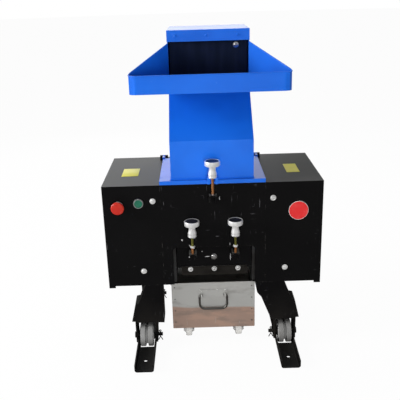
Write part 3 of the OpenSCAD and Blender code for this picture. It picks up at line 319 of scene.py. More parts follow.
@dataclass(frozen=True)
class Enamel(Finish):
    """Glossy enamel with slight orange peel, soft shade changes and chipped edges."""

    colour: Triple = (0.0075, 0.137, 0.68)
    deep: Triple = (0.005, 0.104, 0.56)
    bare: Triple = (0.16, 0.32, 0.66)
    roughness: float = 0.3
    peel: float = 0.3

    def build(self) -> bpy.types.Material:
        """Makes the enamel.

        Returns:
            The material.
        """
        g = Graph(self.name)
        cloud = g.noise(4.0, 3.0)
        skin = g.noise(420.0, 1.0)
        specks = g.step(g.noise(150.0, 2.0), 0.74, 0.78)
        rub = g.step(g.noise(26.0, 3.0, (1.0, 1.0, 5.0)), 0.62, 0.76)
        wear = g.worn_edge(0.0014) * g.step(g.noise(45.0, 3.0), 0.42, 0.66)
        tint = g.mix(g.step(cloud, 0.3, 0.7), self.colour, self.deep)
        tint = g.mix(wear * 0.5, tint, self.bare)
        tint = g.mix(specks * 0.35, tint, self.bare)
        rough = self.roughness + 0.12 * cloud + 0.14 * rub
        return g.surface({"Base Color": tint, "Roughness": rough, "Specular IOR Level": 0.26,
                          "Coat Weight": 0.12, "Coat Roughness": 0.18,
                          "Normal": g.bump(skin * self.peel + cloud * 0.5, 0.22, 0.0005, 0.0009)})


@dataclass(frozen=True)
class BareMetal(Finish):
    """Bare or plated metal with drawn grain, smudges and tarnish."""

    colour: Triple = (0.56, 0.56, 0.57)
    tarnish: Triple = (0.3, 0.28, 0.25)
    grain: Triple = (1.0, 1.0, 1.0)
    roughness: float = 0.3
    blotch: float = 0.5
    depth: float = 0.25
    metallic: float = 1.0

    def build(self) -> bpy.types.Material:
        """Makes the metal.

        Returns:
            The material.
        """
        g = Graph(self.name)
        cloud = g.noise(16.0, 4.0)
        lines = g.noise(240.0, 2.0, self.grain)
        spots = g.step(g.noise(70.0, 4.0), 0.58, 0.75)
        tint = g.mix(g.step(cloud, 0.38, 0.72) * self.blotch, self.colour, self.tarnish)
        tint = g.mix(spots * self.blotch * 0.4, tint, self.tarnish)
        tint = g.mix(g.worn_edge(0.0008) * 0.35, tint, (0.75, 0.75, 0.76))
        rough = self.roughness + 0.14 * cloud + 0.12 * lines
        return g.surface({"Base Color": tint, "Roughness": rough, "Metallic": self.metallic,
                          "Normal": g.bump(lines, self.depth, 0.0003)})


@dataclass(frozen=True)
class BinSheet(Finish):
    """Stainless sheet with drawn grain and grimy smears, with a painted brownish reflection of the floor
    below a wavy line.
    """

    colour: Triple = (0.5, 0.5, 0.48)
    # Brown of the floor, painted onto the lower sheet as its reflection.
    floor_reflection: Triple = (0.42, 0.265, 0.2)
    # Height of the painted floor reflection's upper edge.
    line: float = 0.131
    roughness: float = 0.3

    def build(self) -> bpy.types.Material:
        """Makes the sheet.

        Returns:
            The material.
        """
        g = Graph(self.name)
        lines = g.noise(150.0, 3.0, (0.25, 1.0, 6.0))
        cloud = g.noise(9.0, 4.0, (1.0, 1.0, 2.2))
        smear = g.step(g.noise(17.0, 4.0, (0.6, 1.0, 2.0)), 0.5, 0.68)
        scratch = g.step(g.noise(40.0, 2.0, (7.0, 7.0, 0.8)), 0.7, 0.75)
        wave = g.noise(14.0, 2.0, (1.0, 0.2, 0.2))
        # Painted reflection: below the slanted wavy line the sheet takes the floor's brown, lighter in
        # patches.
        low = g.step(self.line - g.axis(0) * 0.04 + wave * 0.014 - g.axis(2), 0.003, 0.011)
        tint = g.mix(low * 0.85, self.colour, self.floor_reflection)
        tint = g.mix(low * g.step(cloud, 0.5, 0.62) * 0.5, tint, (0.56, 0.36, 0.27))
        tint = g.mix(smear * 0.45, tint, (0.2, 0.18, 0.16))
        tint = g.mix(scratch * 0.4, tint, (0.62, 0.61, 0.59))
        rough = self.roughness + 0.16 * lines + 0.14 * smear
        return g.surface({"Base Color": tint, "Roughness": rough, "Metallic": 0.45,
                          "Normal": g.bump(lines + 1.5 * cloud, 0.28, 0.0006)})


@dataclass(frozen=True)
class RodPlating(Finish):
    """Threaded rod: copper-red, olive above the nuts of the lower clamps, bright at the top rod's end."""

    copper: Triple = (0.68, 0.29, 0.11)
    olive: Triple = (0.3, 0.3, 0.07)
    bright: Triple = (0.75, 0.6, 0.55)
    nut: float = 0.368
    lower_top: float = 0.46
    bright_top: float = 0.537

    def build(self) -> bpy.types.Material:
        """Makes the plating.

        Returns:
            The material.
        """
        g = Graph(self.name)
        cloud = g.noise(70.0, 3.0)
        height = g.axis(2)
        above_nut = g.step(height, self.nut, self.nut + 0.003) * g.step(self.lower_top - height, 0.0, 0.01)
        below_end = g.step(self.bright_top - height, 0.0, 0.004)
        end = below_end * g.step(height, self.lower_top, self.lower_top + 0.01)
        tint = g.mix(above_nut, self.copper, self.olive)
        tint = g.mix(end, tint, self.bright)
        tint = g.mix(g.step(cloud, 0.5, 0.75) * 0.4, tint, (0.16, 0.1, 0.06))
        return g.surface({"Base Color": tint, "Roughness": 0.27 + 0.2 * cloud, "Metallic": 0.95,
                          "Normal": g.bump(cloud, 0.15, 0.0002)})


@dataclass(frozen=True)
class Rubber(Finish):
    """Matte rubber with a moulded skin, a dusty bloom and rubbed edges; where the bloom is stretched into
    vertical streaks it is also a painted sheen.
    """

    colour: Triple = (0.003, 0.0062, 0.017)
    bloom: Triple = (0.007, 0.0115, 0.03)
    roughness: float = 0.55
    # Stretch of the bloom pattern; long vertical streaks paint a soft sheen.
    sheen_streaks: Triple = (1.0, 1.0, 1.0)

    def build(self) -> bpy.types.Material:
        """Makes the rubber.

        Returns:
            The material.
        """
        g = Graph(self.name)
        cloud = g.noise(11.0, 4.0, self.sheen_streaks)
        skin = g.noise(700.0, 2.0)
        # Where the pattern is stretched into vertical streaks, this bloom is also a painted sheen.
        tint = g.mix(g.step(cloud, 0.35, 0.75), self.colour, self.bloom)
        tint = g.mix(g.worn_edge(0.001) * 0.4, tint, self.bloom)
        return g.surface({"Base Color": tint, "Roughness": self.roughness + 0.2 * cloud,
                          "Specular IOR Level": 0.12, "Normal": g.bump(skin * 0.5 + cloud, 0.3, 0.0005)})


@dataclass(frozen=True)
class Moulded(Finish):
    """Moulded plastic with a faint texture, smudges and light wear."""

    colour: Triple = (0.6, 0.012, 0.014)
    worn: Triple = (0.62, 0.12, 0.1)
    roughness: float = 0.3
    texture: float = 0.15

    def build(self) -> bpy.types.Material:
        """Makes the plastic.

        Returns:
            The material.
        """
        g = Graph(self.name)
        cloud = g.noise(45.0, 3.0)
        skin = g.noise(1100.0, 1.0)
        tint = g.mix(g.step(cloud, 0.45, 0.8) * 0.35, self.colour, self.worn)
        tint = g.mix(g.worn_edge(0.0008) * 0.4, tint, self.worn)
        return g.surface({"Base Color": tint, "Roughness": self.roughness + 0.14 * cloud,
                          "Normal": g.bump(skin * 0.5 + cloud * 0.3, self.texture, 0.0003, 0.0005)})


class Looks:
    """All finishes of the machine, by what they are on."""

    CABINET = BlackPaint("cabinet_paint")
    CENTRE = BlackPaint("centre_plate_paint", scuff=0.8, roughness=0.38, chips=(
        (20.0, 514.0, 1.5, 8.0), (51.8, 313.0, 1.6, 17.0), (50.0, 362.0, 1.2, 7.0),
        (-98.4, 380.0, 3.2, 4.6), (-75.8, 361.0, 2.2, 3.6), (-76.7, 337.0, 1.8, 3.4),
        (-37.5, 333.0, 2.8, 1.9), (-21.0, 315.6, 11.0, 2.2)))
    FEET = BlackPaint("foot_paint", scuff=0.6, dirt=0.4, roughness=0.48, dust_and_sheen=(0.024, 0.024, 0.023))
    HOPPER = Enamel("hopper_enamel")
    WELD = Enamel("weld_bead_enamel", roughness=0.38, peel=0.9)
    IRON = BareMetal("machined_iron", (0.16, 0.165, 0.17), (0.07, 0.065, 0.06), roughness=0.48, blotch=0.7)
    STEEL = BareMetal("machined_steel", roughness=0.28, blotch=0.4)
    BRIGHT = BareMetal("bright_plating", (0.78, 0.78, 0.79), (0.5, 0.49, 0.48), roughness=0.16,
                       blotch=0.3, depth=0.1)
    FASTENER = BareMetal("zinc_fastener", (0.72, 0.72, 0.71), (0.3, 0.29, 0.28), roughness=0.3, blotch=0.45,
                         metallic=0.3)
    DULL_STRIP = BareMetal("worn_strip", (0.075, 0.07, 0.064), (0.038, 0.035, 0.031),
                           (0.3, 1.0, 4.0), 0.5, 0.7)
    SCREEN = BareMetal("perforated_sheet", (0.4, 0.4, 0.39), (0.16, 0.14, 0.12), (0.3, 1.0, 1.0), 0.36, 0.6)
    BIN = BinSheet("bin_stainless")
    # The wire's dark grey is partly dull steel and partly painted shade, for the shadows along the handle.
    WIRE = BareMetal("handle_wire", (0.22, 0.215, 0.2), (0.09, 0.08, 0.07), (6.0, 6.0, 1.0), 0.3, 0.5)
    ROD = RodPlating("rod_plating")
    # The curtain's lighter vertical streaks are partly bloom and partly a painted soft sheen.
    CURTAIN = Rubber("curtain_rubber", sheen_streaks=(2.6, 1.0, 0.35))
    BELT = Rubber("belt_rubber", (0.008, 0.008, 0.008), (0.035, 0.034, 0.032))
    TYRE = Rubber("wheel_rubber", (0.25, 0.25, 0.245), (0.16, 0.155, 0.15), 0.6)
    KNOB = BareMetal("satin_knob", (0.96, 0.96, 0.96), (0.72, 0.71, 0.7), roughness=0.26,
                     blotch=0.25, depth=0.05, metallic=0.66)
    NYLON = Moulded("caster_nylon", (0.8, 0.79, 0.76), (0.5, 0.48, 0.44), 0.42)
    GREY = Moulded("grey_housing", (0.16, 0.165, 0.17), (0.26, 0.26, 0.26), 0.45)
    RED = Moulded("red_button", (0.43, 0.013, 0.005), (0.5, 0.07, 0.03), 0.24)
    GREEN = Moulded("green_button", (0.009, 0.115, 0.066), (0.04, 0.2, 0.12), 0.26)
    BLACK_CAP = Moulded("black_cap", (0.010, 0.011, 0.020), (0.05, 0.05, 0.07), 0.34)
    RED_DISC = Moulded("red_disc", (0.60, 0.014, 0.016), (0.62, 0.1, 0.09), 0.35)
    WHITE_DISC = Moulded("white_disc", (0.7, 0.69, 0.67), (0.5, 0.49, 0.47), 0.4)
    YELLOW = Moulded("yellow_plate", (0.62, 0.56, 0.03), (0.5, 0.46, 0.12), 0.42)
    MOTOR = Enamel("motor_enamel", (0.035, 0.05, 0.07), (0.022, 0.03, 0.042), (0.2, 0.2, 0.2), 0.45)


# Modelling bench


class Bench:
    """Models pieces with Blender's operators. Lengths are in millimetres."""

    def clear(self) -> None:
        """Deselects everything, in object mode."""
        if bpy.context.mode != "OBJECT":
            bpy.ops.object.mode_set(mode="OBJECT")
        bpy.ops.object.select_all(action="DESELECT")

    def only(self, piece: Piece) -> None:
        """Selects one piece and makes it active."""
        self.clear()
        piece.select_set(True)
        bpy.context.view_layer.objects.active = piece

    def settle(self, piece: Piece, name: str) -> Piece:
        """Names a piece and moves its place into its mesh."""
        piece.name = name
        piece.data.name = name
        self.only(piece)
        bpy.ops.object.transform_apply(location=True, rotation=True, scale=True)
        return piece

    def block(self, low: Point, high: Point, name: str) -> Piece:
        """Adds a box between two corners."""
        self.clear()
        bpy.ops.mesh.primitive_cube_add(size=1, location=[(a + b) / 2 * MM for a, b in zip(low, high)])
        piece = bpy.context.object
        piece.scale = [abs(b - a) * MM for a, b in zip(low, high)]
        return self.settle(piece, name)

    def bar(self, centre: Point, radius: float, length: float, axis: Axis, name: str,
            sides: int = 32) -> Piece:
        """Adds a cylinder or prism round its centre."""
        self.clear()
        bpy.ops.mesh.primitive_cylinder_add(vertices=sides, radius=radius * MM, depth=length * MM,
                                            location=[c * MM for c in centre],
                                            rotation=Vector(axis.value).to_track_quat("Z", "Y").to_euler())
        return self.settle(bpy.context.object, name)

    def soften(self, piece: Piece, width: float, steps: int = 2,
               angle: float = 30.0) -> Piece:
        """Rounds the piece's sharp edges."""
        self.only(piece)
        bevel = piece.modifiers.new("rounding", "BEVEL")
        bevel.width = width * MM
        bevel.segments = steps
        bevel.limit_method = "ANGLE"
        bevel.angle_limit = math.radians(angle)
        bpy.ops.object.modifier_apply(modifier=bevel.name)
        bpy.ops.object.shade_smooth_by_angle(angle=SMOOTH)
        return piece

    def press(self, piece: Piece, facing: Point, rim: float, depth: float) -> Piece:
        """Insets the faces that look along facing and moves them out by depth, or in where it is negative."""
        self.only(piece)
        aim = Vector(facing)
        for face in piece.data.polygons:
            face.select = face.normal.dot(aim) > SAME_WAY
        bpy.ops.object.mode_set(mode="EDIT")
        bpy.ops.mesh.select_mode(type="FACE")
        bpy.ops.mesh.inset(thickness=rim * MM, depth=depth * MM)
        bpy.ops.object.mode_set(mode="OBJECT")
        return piece

    def point(self) -> Piece:
        """Starts a mesh of one point at the origin, in edit mode."""
        self.clear()
        bpy.ops.mesh.primitive_plane_add(size=0.001, location=(0, 0, 0))
        piece = bpy.context.object
        bpy.ops.object.mode_set(mode="EDIT")
        bpy.ops.mesh.select_mode(type="VERT")
        bpy.ops.mesh.select_all(action="SELECT")
        bpy.ops.mesh.merge(type="CENTER")
        return piece

    def turned(self, profile: Sequence[Pair], centre: Point, axis: Point, name: str,
               steps: int = 40) -> Piece:
        """Turns a profile of (radius, height) points about an axis.

        Args:
            profile: points from the axis and back to it, or a closed ring profile.
            centre: place of height 0.
            axis: direction in which the height grows.
            name: the piece's name.
            steps: number of faces round the axis.

        Returns:
            The turned piece, smooth and closed.
        """
        piece = self.point()
        here = Vector((0, 0, 0))
        for index, (radius, height) in enumerate(profile):
            there = Vector((radius * MM, 0, height * MM))
            if index == 0:
                bpy.ops.transform.translate(value=there - here)
            else:
                bpy.ops.mesh.extrude_region_move(TRANSFORM_OT_translate={"value": there - here})
            here = there
        bpy.ops.mesh.select_all(action="SELECT")
        bpy.ops.mesh.spin(steps=steps, angle=2 * math.pi, center=(0, 0, 0), axis=UP)
        bpy.ops.mesh.select_all(action="SELECT")
        bpy.ops.mesh.remove_doubles(threshold=WELD)
        bpy.ops.mesh.normals_make_consistent(inside=False)
        bpy.ops.object.mode_set(mode="OBJECT")
        piece.rotation_euler = Vector(axis).to_track_quat("Z", "Y").to_euler()
        piece.location = [c * MM for c in centre]
        self.settle(piece, name)
        bpy.ops.object.shade_smooth_by_angle(angle=SMOOTH)
        return piece

    def tube(self, points: Sequence[Point], radius: float, name: str, closed: bool = False,
             ripple: float = 0.0) -> Piece:
        """Draws a round bar or a weld bead along a path.

        Args:
            points: the path.
            radius: radius of the bar.
            name: the piece's name.
            closed: whether the path returns to its start.
            ripple: share of the radius by which a weld bead swells at every other point.

        Returns:
            The bar as a mesh.
        """
        self.clear()
        curve = bpy.data.curves.new(name, "CURVE")
        curve.dimensions = "3D"
        curve.bevel_depth = radius * MM
        curve.bevel_resolution = 3
        curve.use_fill_caps = not closed
        spline = curve.splines.new("POLY")
        spline.points.add(len(points) - 1)
        spline.use_cyclic_u = closed
        for index, (point, place) in enumerate(zip(spline.points, points)):
            point.co = (*[c * MM for c in place], 1.0)
            point.radius = 1.0 + ripple * (1 if index % 2 else -1)
        piece = bpy.data.objects.new(name, curve)
        bpy.context.scene.collection.objects.link(piece)
        self.only(piece)
        bpy.ops.object.convert(target="MESH")
        piece = bpy.context.object
        bpy.ops.object.shade_smooth_by_angle(angle=BEAD_SMOOTH)
        return piece

    def thread(self, centre: Point, radius: float, length: float, pitch: float,
               name: str) -> Piece:
        """Winds a thread about a vertical rod, upwards from its centre's height."""
        piece = self.point()
        bpy.ops.transform.translate(value=((radius - pitch * 0.5) * MM, 0, 0))
        half = pitch * 0.5 * MM
        for out in (half, -half):
            bpy.ops.mesh.extrude_region_move(TRANSFORM_OT_translate={"value": (out, 0, half)})
        bpy.ops.object.mode_set(mode="OBJECT")
        wind = piece.modifiers.new("thread", "SCREW")
        wind.screw_offset = pitch * MM
        wind.iterations = max(1, int(length / pitch))
        wind.steps = 12
        wind.render_steps = 12
        wind.use_merge_vertices = True
        wind.merge_threshold = WELD
        bpy.ops.object.modifier_apply(modifier=wind.name)
        piece.location = [c * MM for c in centre]
        self.settle(piece, name)
        bpy.ops.object.mode_set(mode="EDIT")
        bpy.ops.mesh.select_all(action="SELECT")
        bpy.ops.mesh.normals_make_consistent(inside=False)
        bpy.ops.object.mode_set(mode="OBJECT")
        return piece

    def cut(self, piece: Piece, tool: Piece) -> Piece:
        """Cuts a tool's shape out of a piece and removes the tool."""
        self.only(piece)
        boolean = piece.modifiers.new("cut", "BOOLEAN")
        boolean.operation = "DIFFERENCE"
        boolean.solver = "EXACT"
        boolean.object = tool
        bpy.ops.object.modifier_apply(modifier=boolean.name)
        bpy.data.objects.remove(tool, do_unlink=True)
        bpy.ops.object.shade_smooth_by_angle(angle=SMOOTH)
        return piece

    def twin(self, piece: Piece, shift: Point, name: str) -> Piece:
        """Copies a piece with a mesh of its own and moves it."""
        made = piece.copy()
        made.data = piece.data.copy()
        bpy.context.scene.collection.objects.link(made)
        made.matrix_world = Matrix.Translation([c * MM for c in shift])
        return self.settle(made, name)

    def joined(self, pieces: Sequence[Piece], name: str) -> Piece:
        """Joins separate solids of one kind into one piece."""
        self.clear()
        for piece in pieces:
            piece.select_set(True)
        bpy.context.view_layer.objects.active = pieces[0]
        if len(pieces) > 1:
            bpy.ops.object.join()
        return self.settle(pieces[0], name)


@dataclass
class Assembly:
    """Base of every sub-assembly: its bench, and how its pieces are dressed."""

    bench: Bench = field(default_factory=Bench)
    made: list[str] = field(default_factory=list)

    def dress(self, piece: Piece, finish: Finish, body: str, slot: str,
              *stands_for: str) -> Piece:
        """Gives a new piece its finish and body.

        Args:
            piece: the new piece.
            finish: what covers it.
            body: the CAD body that it moves with.
            slot: not used.
            stands_for: the CAD nodes that it stands for.

        Returns:
            The piece.
        """
        piece.data.materials.clear()
        piece.data.materials.append(finish.material())
        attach(piece, body)
        if stands_for:
            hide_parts(*stands_for)
        self.made.append(piece.name)
        return piece

    def coat(self, finish: Finish, *nodes: str) -> None:
        """Gives CAD nodes their finish."""
        for node in nodes:
            piece = bpy.data.objects[node]
            for index in range(max(1, len(piece.material_slots))):
                if piece.material_slots:
                    piece.material_slots[index].material = finish.material()
                else:
                    piece.data.materials.append(finish.material())

    def screw(self, place: Point, axis: Point, radius: float, name: str,
              washer: float = 1.35) -> Piece:
        """A button-head socket screw on its washer.

        Args:
            place: centre of the washer's seat.
            axis: direction out of the seat.
            radius: radius of the head.
            name: the piece's name.
            washer: washer's radius as a share of the head's.

        Returns:
            The screw.
        """
        b = self.bench
        r = radius
        ring = b.turned([(0, 0), (r * washer, 0), (r * washer, r * 0.12), (r * washer * 0.95, r * 0.18),
                         (0, r * 0.18)], place, axis, name + "_w", 28)
        head = b.turned([(0, r * 0.18), (r, r * 0.18), (r, r * 0.3), (r * 0.92, r * 0.48),
                         (r * 0.72, r * 0.64), (r * 0.5, r * 0.68), (0, r * 0.68)],
                        place, axis, name + "_h", 28)
        socket = [(0, r * 0.36), (r * 0.42, r * 0.36), (r * 0.42, r), (0, r)]
        tool = b.turned(socket, place, Vector(axis).normalized(), name + "_t", 6)
        head = b.cut(head, tool)
        return b.joined([head, ring], name)

    def hex_bolt(self, place: Point, axis: Point, radius: float, name: str) -> Piece:
        """A chamfered hexagon head on its washer."""
        b = self.bench
        r = radius
        ring = b.turned([(0, 0), (r * 1.3, 0), (r * 1.3, r * 0.16), (0, r * 0.16)],
                        place, axis, name + "_w", 28)
        head = b.turned([(0, r * 0.16), (r, r * 0.16), (r, r * 0.7), (r * 0.86, r * 0.8), (0, r * 0.8)],
                        place, axis, name + "_h", 6)
        return b.joined([head, ring], name)


# Sub-assemblies


@dataclass
class Cabinet(Assembly):
    """Covers, plates and what is screwed or stuck on them."""

    front: float = -164.0
    rear: float = 164.0
    low: float = 228.0
    top: float = 560.0
    screw_places: tuple[Pair, ...] = ((183.0, 510.0), (222.0, 278.0))
    disc: Triple = (261.0, 467.0, 30.0)

    def build(self) -> None:
        """Builds and dresses everything on the cabinet."""
        self.coat(Looks.CABINET, "left_cover", "right_cover", "rear_panel", "base_plates")
        self.coat(Looks.CENTRE, "front_plate", "top_plate")
        self.screws()
        self.stickers()
        self.vents()
        self.base_bolts()

    def screws(self) -> None:
        """Button-head screws that hold both covers, front and rear."""
        heads = []
        for side in Side:
            for x, z in self.screw_places:
                heads.append(self.screw((side.value * x, self.front, z), FORWARD, 6.6, "cover_screw"))
                heads.append(self.screw((side.value * x, self.rear, z), BACKWARD, 6.6, "cover_screw"))
        self.dress(self.bench.joined(heads, "cover_screws"), Looks.FASTENER, "root", "steel", "panel_screws")

    def stickers(self) -> None:
        """Plain disc on the right cover and plain plates on top of both."""
        x, z, r = self.disc
        place = (x, self.front, z)
        rim = self.bench.turned([(0, 0), (r, 0), (r, 0.4), (r - 0.3, 0.6), (0, 0.6)],
                                place, FORWARD, "disc_rim", 64)
        self.dress(rim, Looks.WHITE_DISC, "root", "white_plastic")
        face = self.bench.turned([(0, 0.6), (r - 0.9, 0.6), (r - 1.2, 0.9), (0, 0.9)],
                                 place, FORWARD, "disc_face", 64)
        self.dress(face, Looks.RED_DISC, "root", "red_plastic")
        for side, x0, x1, y0, y1 in ((Side.LEFT, -285, -232, -63, 23), (Side.RIGHT, 237, 278, -67, 27)):
            plate = self.bench.block((x0, y0, self.top), (x1, y1, self.top + 0.9),
                                     f"yellow_plate_{side.name.lower()}")
            self.bench.press(plate, UP, 3.0, -0.3)
            self.bench.soften(plate, 0.3, 2)
            self.dress(plate, Looks.YELLOW, "root", "red_plastic")

    def vents(self) -> None:
        """Two columns of pressed louvres in the rear panel."""
        louvre = self.bench.block((-52, self.rear - 1, 386), (52, self.rear + 7, 399), "louvre_blank")
        self.bench.only(louvre)
        for vertex in louvre.data.vertices:
            vertex.select = vertex.co.y > (self.rear + 3) * MM and vertex.co.z > 0.392
        bpy.ops.object.mode_set(mode="EDIT")
        bpy.ops.mesh.select_mode(type="VERT")
        bpy.ops.transform.translate(value=(0, -7 * MM, 0))
        bpy.ops.object.mode_set(mode="OBJECT")
        self.bench.soften(louvre, 1.2, 3)
        rows = []
        for column in (-1, 1):
            for row in range(5):
                rows.append(self.bench.twin(louvre, (column * 74, 0, row * 28), "louvre"))
        bpy.data.objects.remove(louvre, do_unlink=True)
        self.dress(self.bench.joined(rows, "rear_louvres"), Looks.CABINET, "root", "black_paint")

    def base_bolts(self) -> None:
        """Bolts through the base plates, from below."""
        bolts = []
        for side in Side:
            for x, y in ((185, -130), (185, 130), (300, -130), (300, 130)):
                bolts.append(self.hex_bolt((side.value * x, y, self.low), DOWN, 6.5, "base_bolt"))
        self.dress(self.bench.joined(bolts, "base_bolts"), Looks.FASTENER, "root", "steel")


@dataclass
class Hopper(Assembly):
    """Chute, hood, tray and curtain."""

    half: float = 125.0
    hood_y: float = -4.0
    mouth_z: float = 822.0
    wing_z: float = 958.0
    lip_y: float = -191.0
    run_y: float = -164.0
    lip_z: float = 888.0
    wing_x: float = 254.0
    corner: float = 25.0
    sheet: Triple = (238.0, 156.0, 3.0)
    hang: Pair = (6.0, 986.0)

    def build(self) -> None:
        """Builds and dresses the hopper."""
        self.coat(Looks.HOPPER, "hopper_flange", "hopper_chute", "feed_tray", "curtain_strip",
                  "hinge_leaves")
        self.coat(Looks.CABINET, "hopper_hinges")
        self.hem()
        self.welds()
        self.curtain()
        self.strip_screws()
        self.hinge_screws()

    def rim_height(self, y: float) -> float:
        """Height of the tray's upper edge at a depth y."""
        if y <= self.run_y:
            return self.lip_z
        share = (y - self.run_y) / (self.hood_y - self.run_y)
        return self.lip_z + share * (self.wing_z - self.lip_z)

    def rim_path(self) -> list[Triple]:
        """Points along the tray's upper edge, from the left wing to the right one."""
        start, corner = Vector((-self.half, self.hood_y)), Vector((-self.wing_x, self.lip_y))
        back = (start - corner).normalized()
        ahead = Vector((1.0, 0.0))
        half = math.acos(back.dot(ahead)) / 2
        centre = corner + (back + ahead).normalized() * (self.corner / math.sin(half))
        first = corner + back * (self.corner / math.tan(half)) - centre
        last = corner + ahead * (self.corner / math.tan(half)) - centre
        arc = [centre + (first * (8 - k) + last * k).normalized() * self.corner for k in range(9)]
        plan = [start.lerp(arc[0], k / 10) for k in range(10)] + arc
        left = [(p.x, p.y, self.rim_height(p.y)) for p in plan]
        return left + [(-x, y, z) for x, y, z in reversed(left)]

    def hem(self) -> None:
        """Folded edge along the tray's rim."""
        self.dress(self.bench.tube(self.rim_path(), 1.7, "tray_hem"), Looks.HOPPER, "hopper", "blue_paint")

    def bead(self, first: Point, last: Point, name: str, radius: float = 1.6) -> Piece:
        """A weld bead between two points."""
        a, b = Vector(first), Vector(last)
        count = max(4, int((b - a).length / 3.2))
        return self.bench.tube([a.lerp(b, k / count) for k in range(count + 1)], radius, name, ripple=0.16)

    def welds(self) -> None:
        """Weld beads round the chute's foot, under the mouth and up the wings."""
        beads = []
        y, z = self.hood_y, self.mouth_z
        foot = [(-125, -152), (125, -152), (125, 71), (-125, 71)]
        for (x0, y0), (x1, y1) in zip(foot, foot[1:] + foot[:1]):
            beads.append(self.bead((x0, y0, 572.6), (x1, y1, 572.6), "foot_bead", 2.0))
        for s in (-1, 1):
            beads.append(self.bead((s * 125.4, y - 0.4, z), (s * 125.4, y - 0.4, self.wing_z), "wing_bead"))
            beads.append(self.bead((s * 125.2, 206.0, 828), (s * 125.2, 206.0, 996), "hood_bead", 1.2))
        beads.append(self.bead((-124, y, z - 0.4), (124, y, z - 0.4), "mouth_bead"))
        self.dress(self.bench.joined(beads, "hopper_welds"), Looks.WELD, "hopper", "blue_paint")

    def curtain(self) -> None:
        """Rubber curtain behind the strip, with a slight swell."""
        bench = self.bench
        wide, high, thickness = self.sheet
        y, top = self.hang
        bench.clear()
        bpy.ops.mesh.primitive_plane_add(size=1, location=(0, y * MM, (top - high / 2) * MM),
                                         rotation=(math.pi / 2, 0, 0))
        sheet = bpy.context.object
        sheet.scale = (wide * MM, high * MM, 1)
        bench.settle(sheet, "curtain")
        bpy.ops.object.mode_set(mode="EDIT")
        bpy.ops.mesh.select_all(action="SELECT")
        bpy.ops.mesh.subdivide(number_cuts=35)
        bpy.ops.object.mode_set(mode="OBJECT")
        for vertex in sheet.data.vertices:
            drop = (top * MM - vertex.co.z) / (high * MM)
            wave = math.sin(vertex.co.x / MM * 0.052 + 0.6) + 0.5 * math.sin(vertex.co.x / MM * 0.117)
            vertex.co.y += (1.6 * wave * drop + 1.5 * drop * drop) * MM
        thick = sheet.modifiers.new("thickness", "SOLIDIFY")
        thick.thickness = thickness * MM
        thick.offset = 0
        bpy.ops.object.modifier_apply(modifier=thick.name)
        bench.soften(sheet, 0.6, 2, 60)
        self.dress(sheet, Looks.CURTAIN, "curtain", "black_rubber", "rubber_curtain")
        rod = bench.bar((0, y, top), 3.0, 245, Axis.X, "curtain_rod", 24)
        bench.soften(rod, 0.6)
        self.dress(rod, Looks.FASTENER, "curtain", "steel")
        bolt = self.screw((84, 2.2, 950), FORWARD, 4.6, "curtain_bolt", 1.9)
        self.dress(bolt, Looks.BRIGHT, "curtain", "chrome")

    def strip_screws(self) -> None:
        """Screws through the strip over the curtain."""
        heads = [self.screw((x, self.hood_y - 3, 981), FORWARD, 3.2, "strip_screw", 1.3)
                 for x in (-100, -5, 90)]
        self.dress(self.bench.joined(heads, "strip_screws"), Looks.KNOB, "hopper", "steel")

    def hinge_screws(self) -> None:
        """Screws of the rear hinges, on the frame and on the hopper."""
        fixed, moving = [], []
        for s in (-1, 1):
            fixed.append(self.screw((s * 149.5, 133, 564), UP, 3.2, "hinge_screw"))
            fixed.append(self.screw((s * 165.5, 133, 564), UP, 3.2, "hinge_screw"))
            moving.append(self.screw((s * 157.4, 101.5, 576), UP, 2.8, "leaf_screw"))
        self.dress(self.bench.joined(fixed, "hinge_screws"), Looks.FASTENER, "root", "steel")
        self.dress(self.bench.joined(moving, "leaf_screws"), Looks.FASTENER, "hopper", "steel")


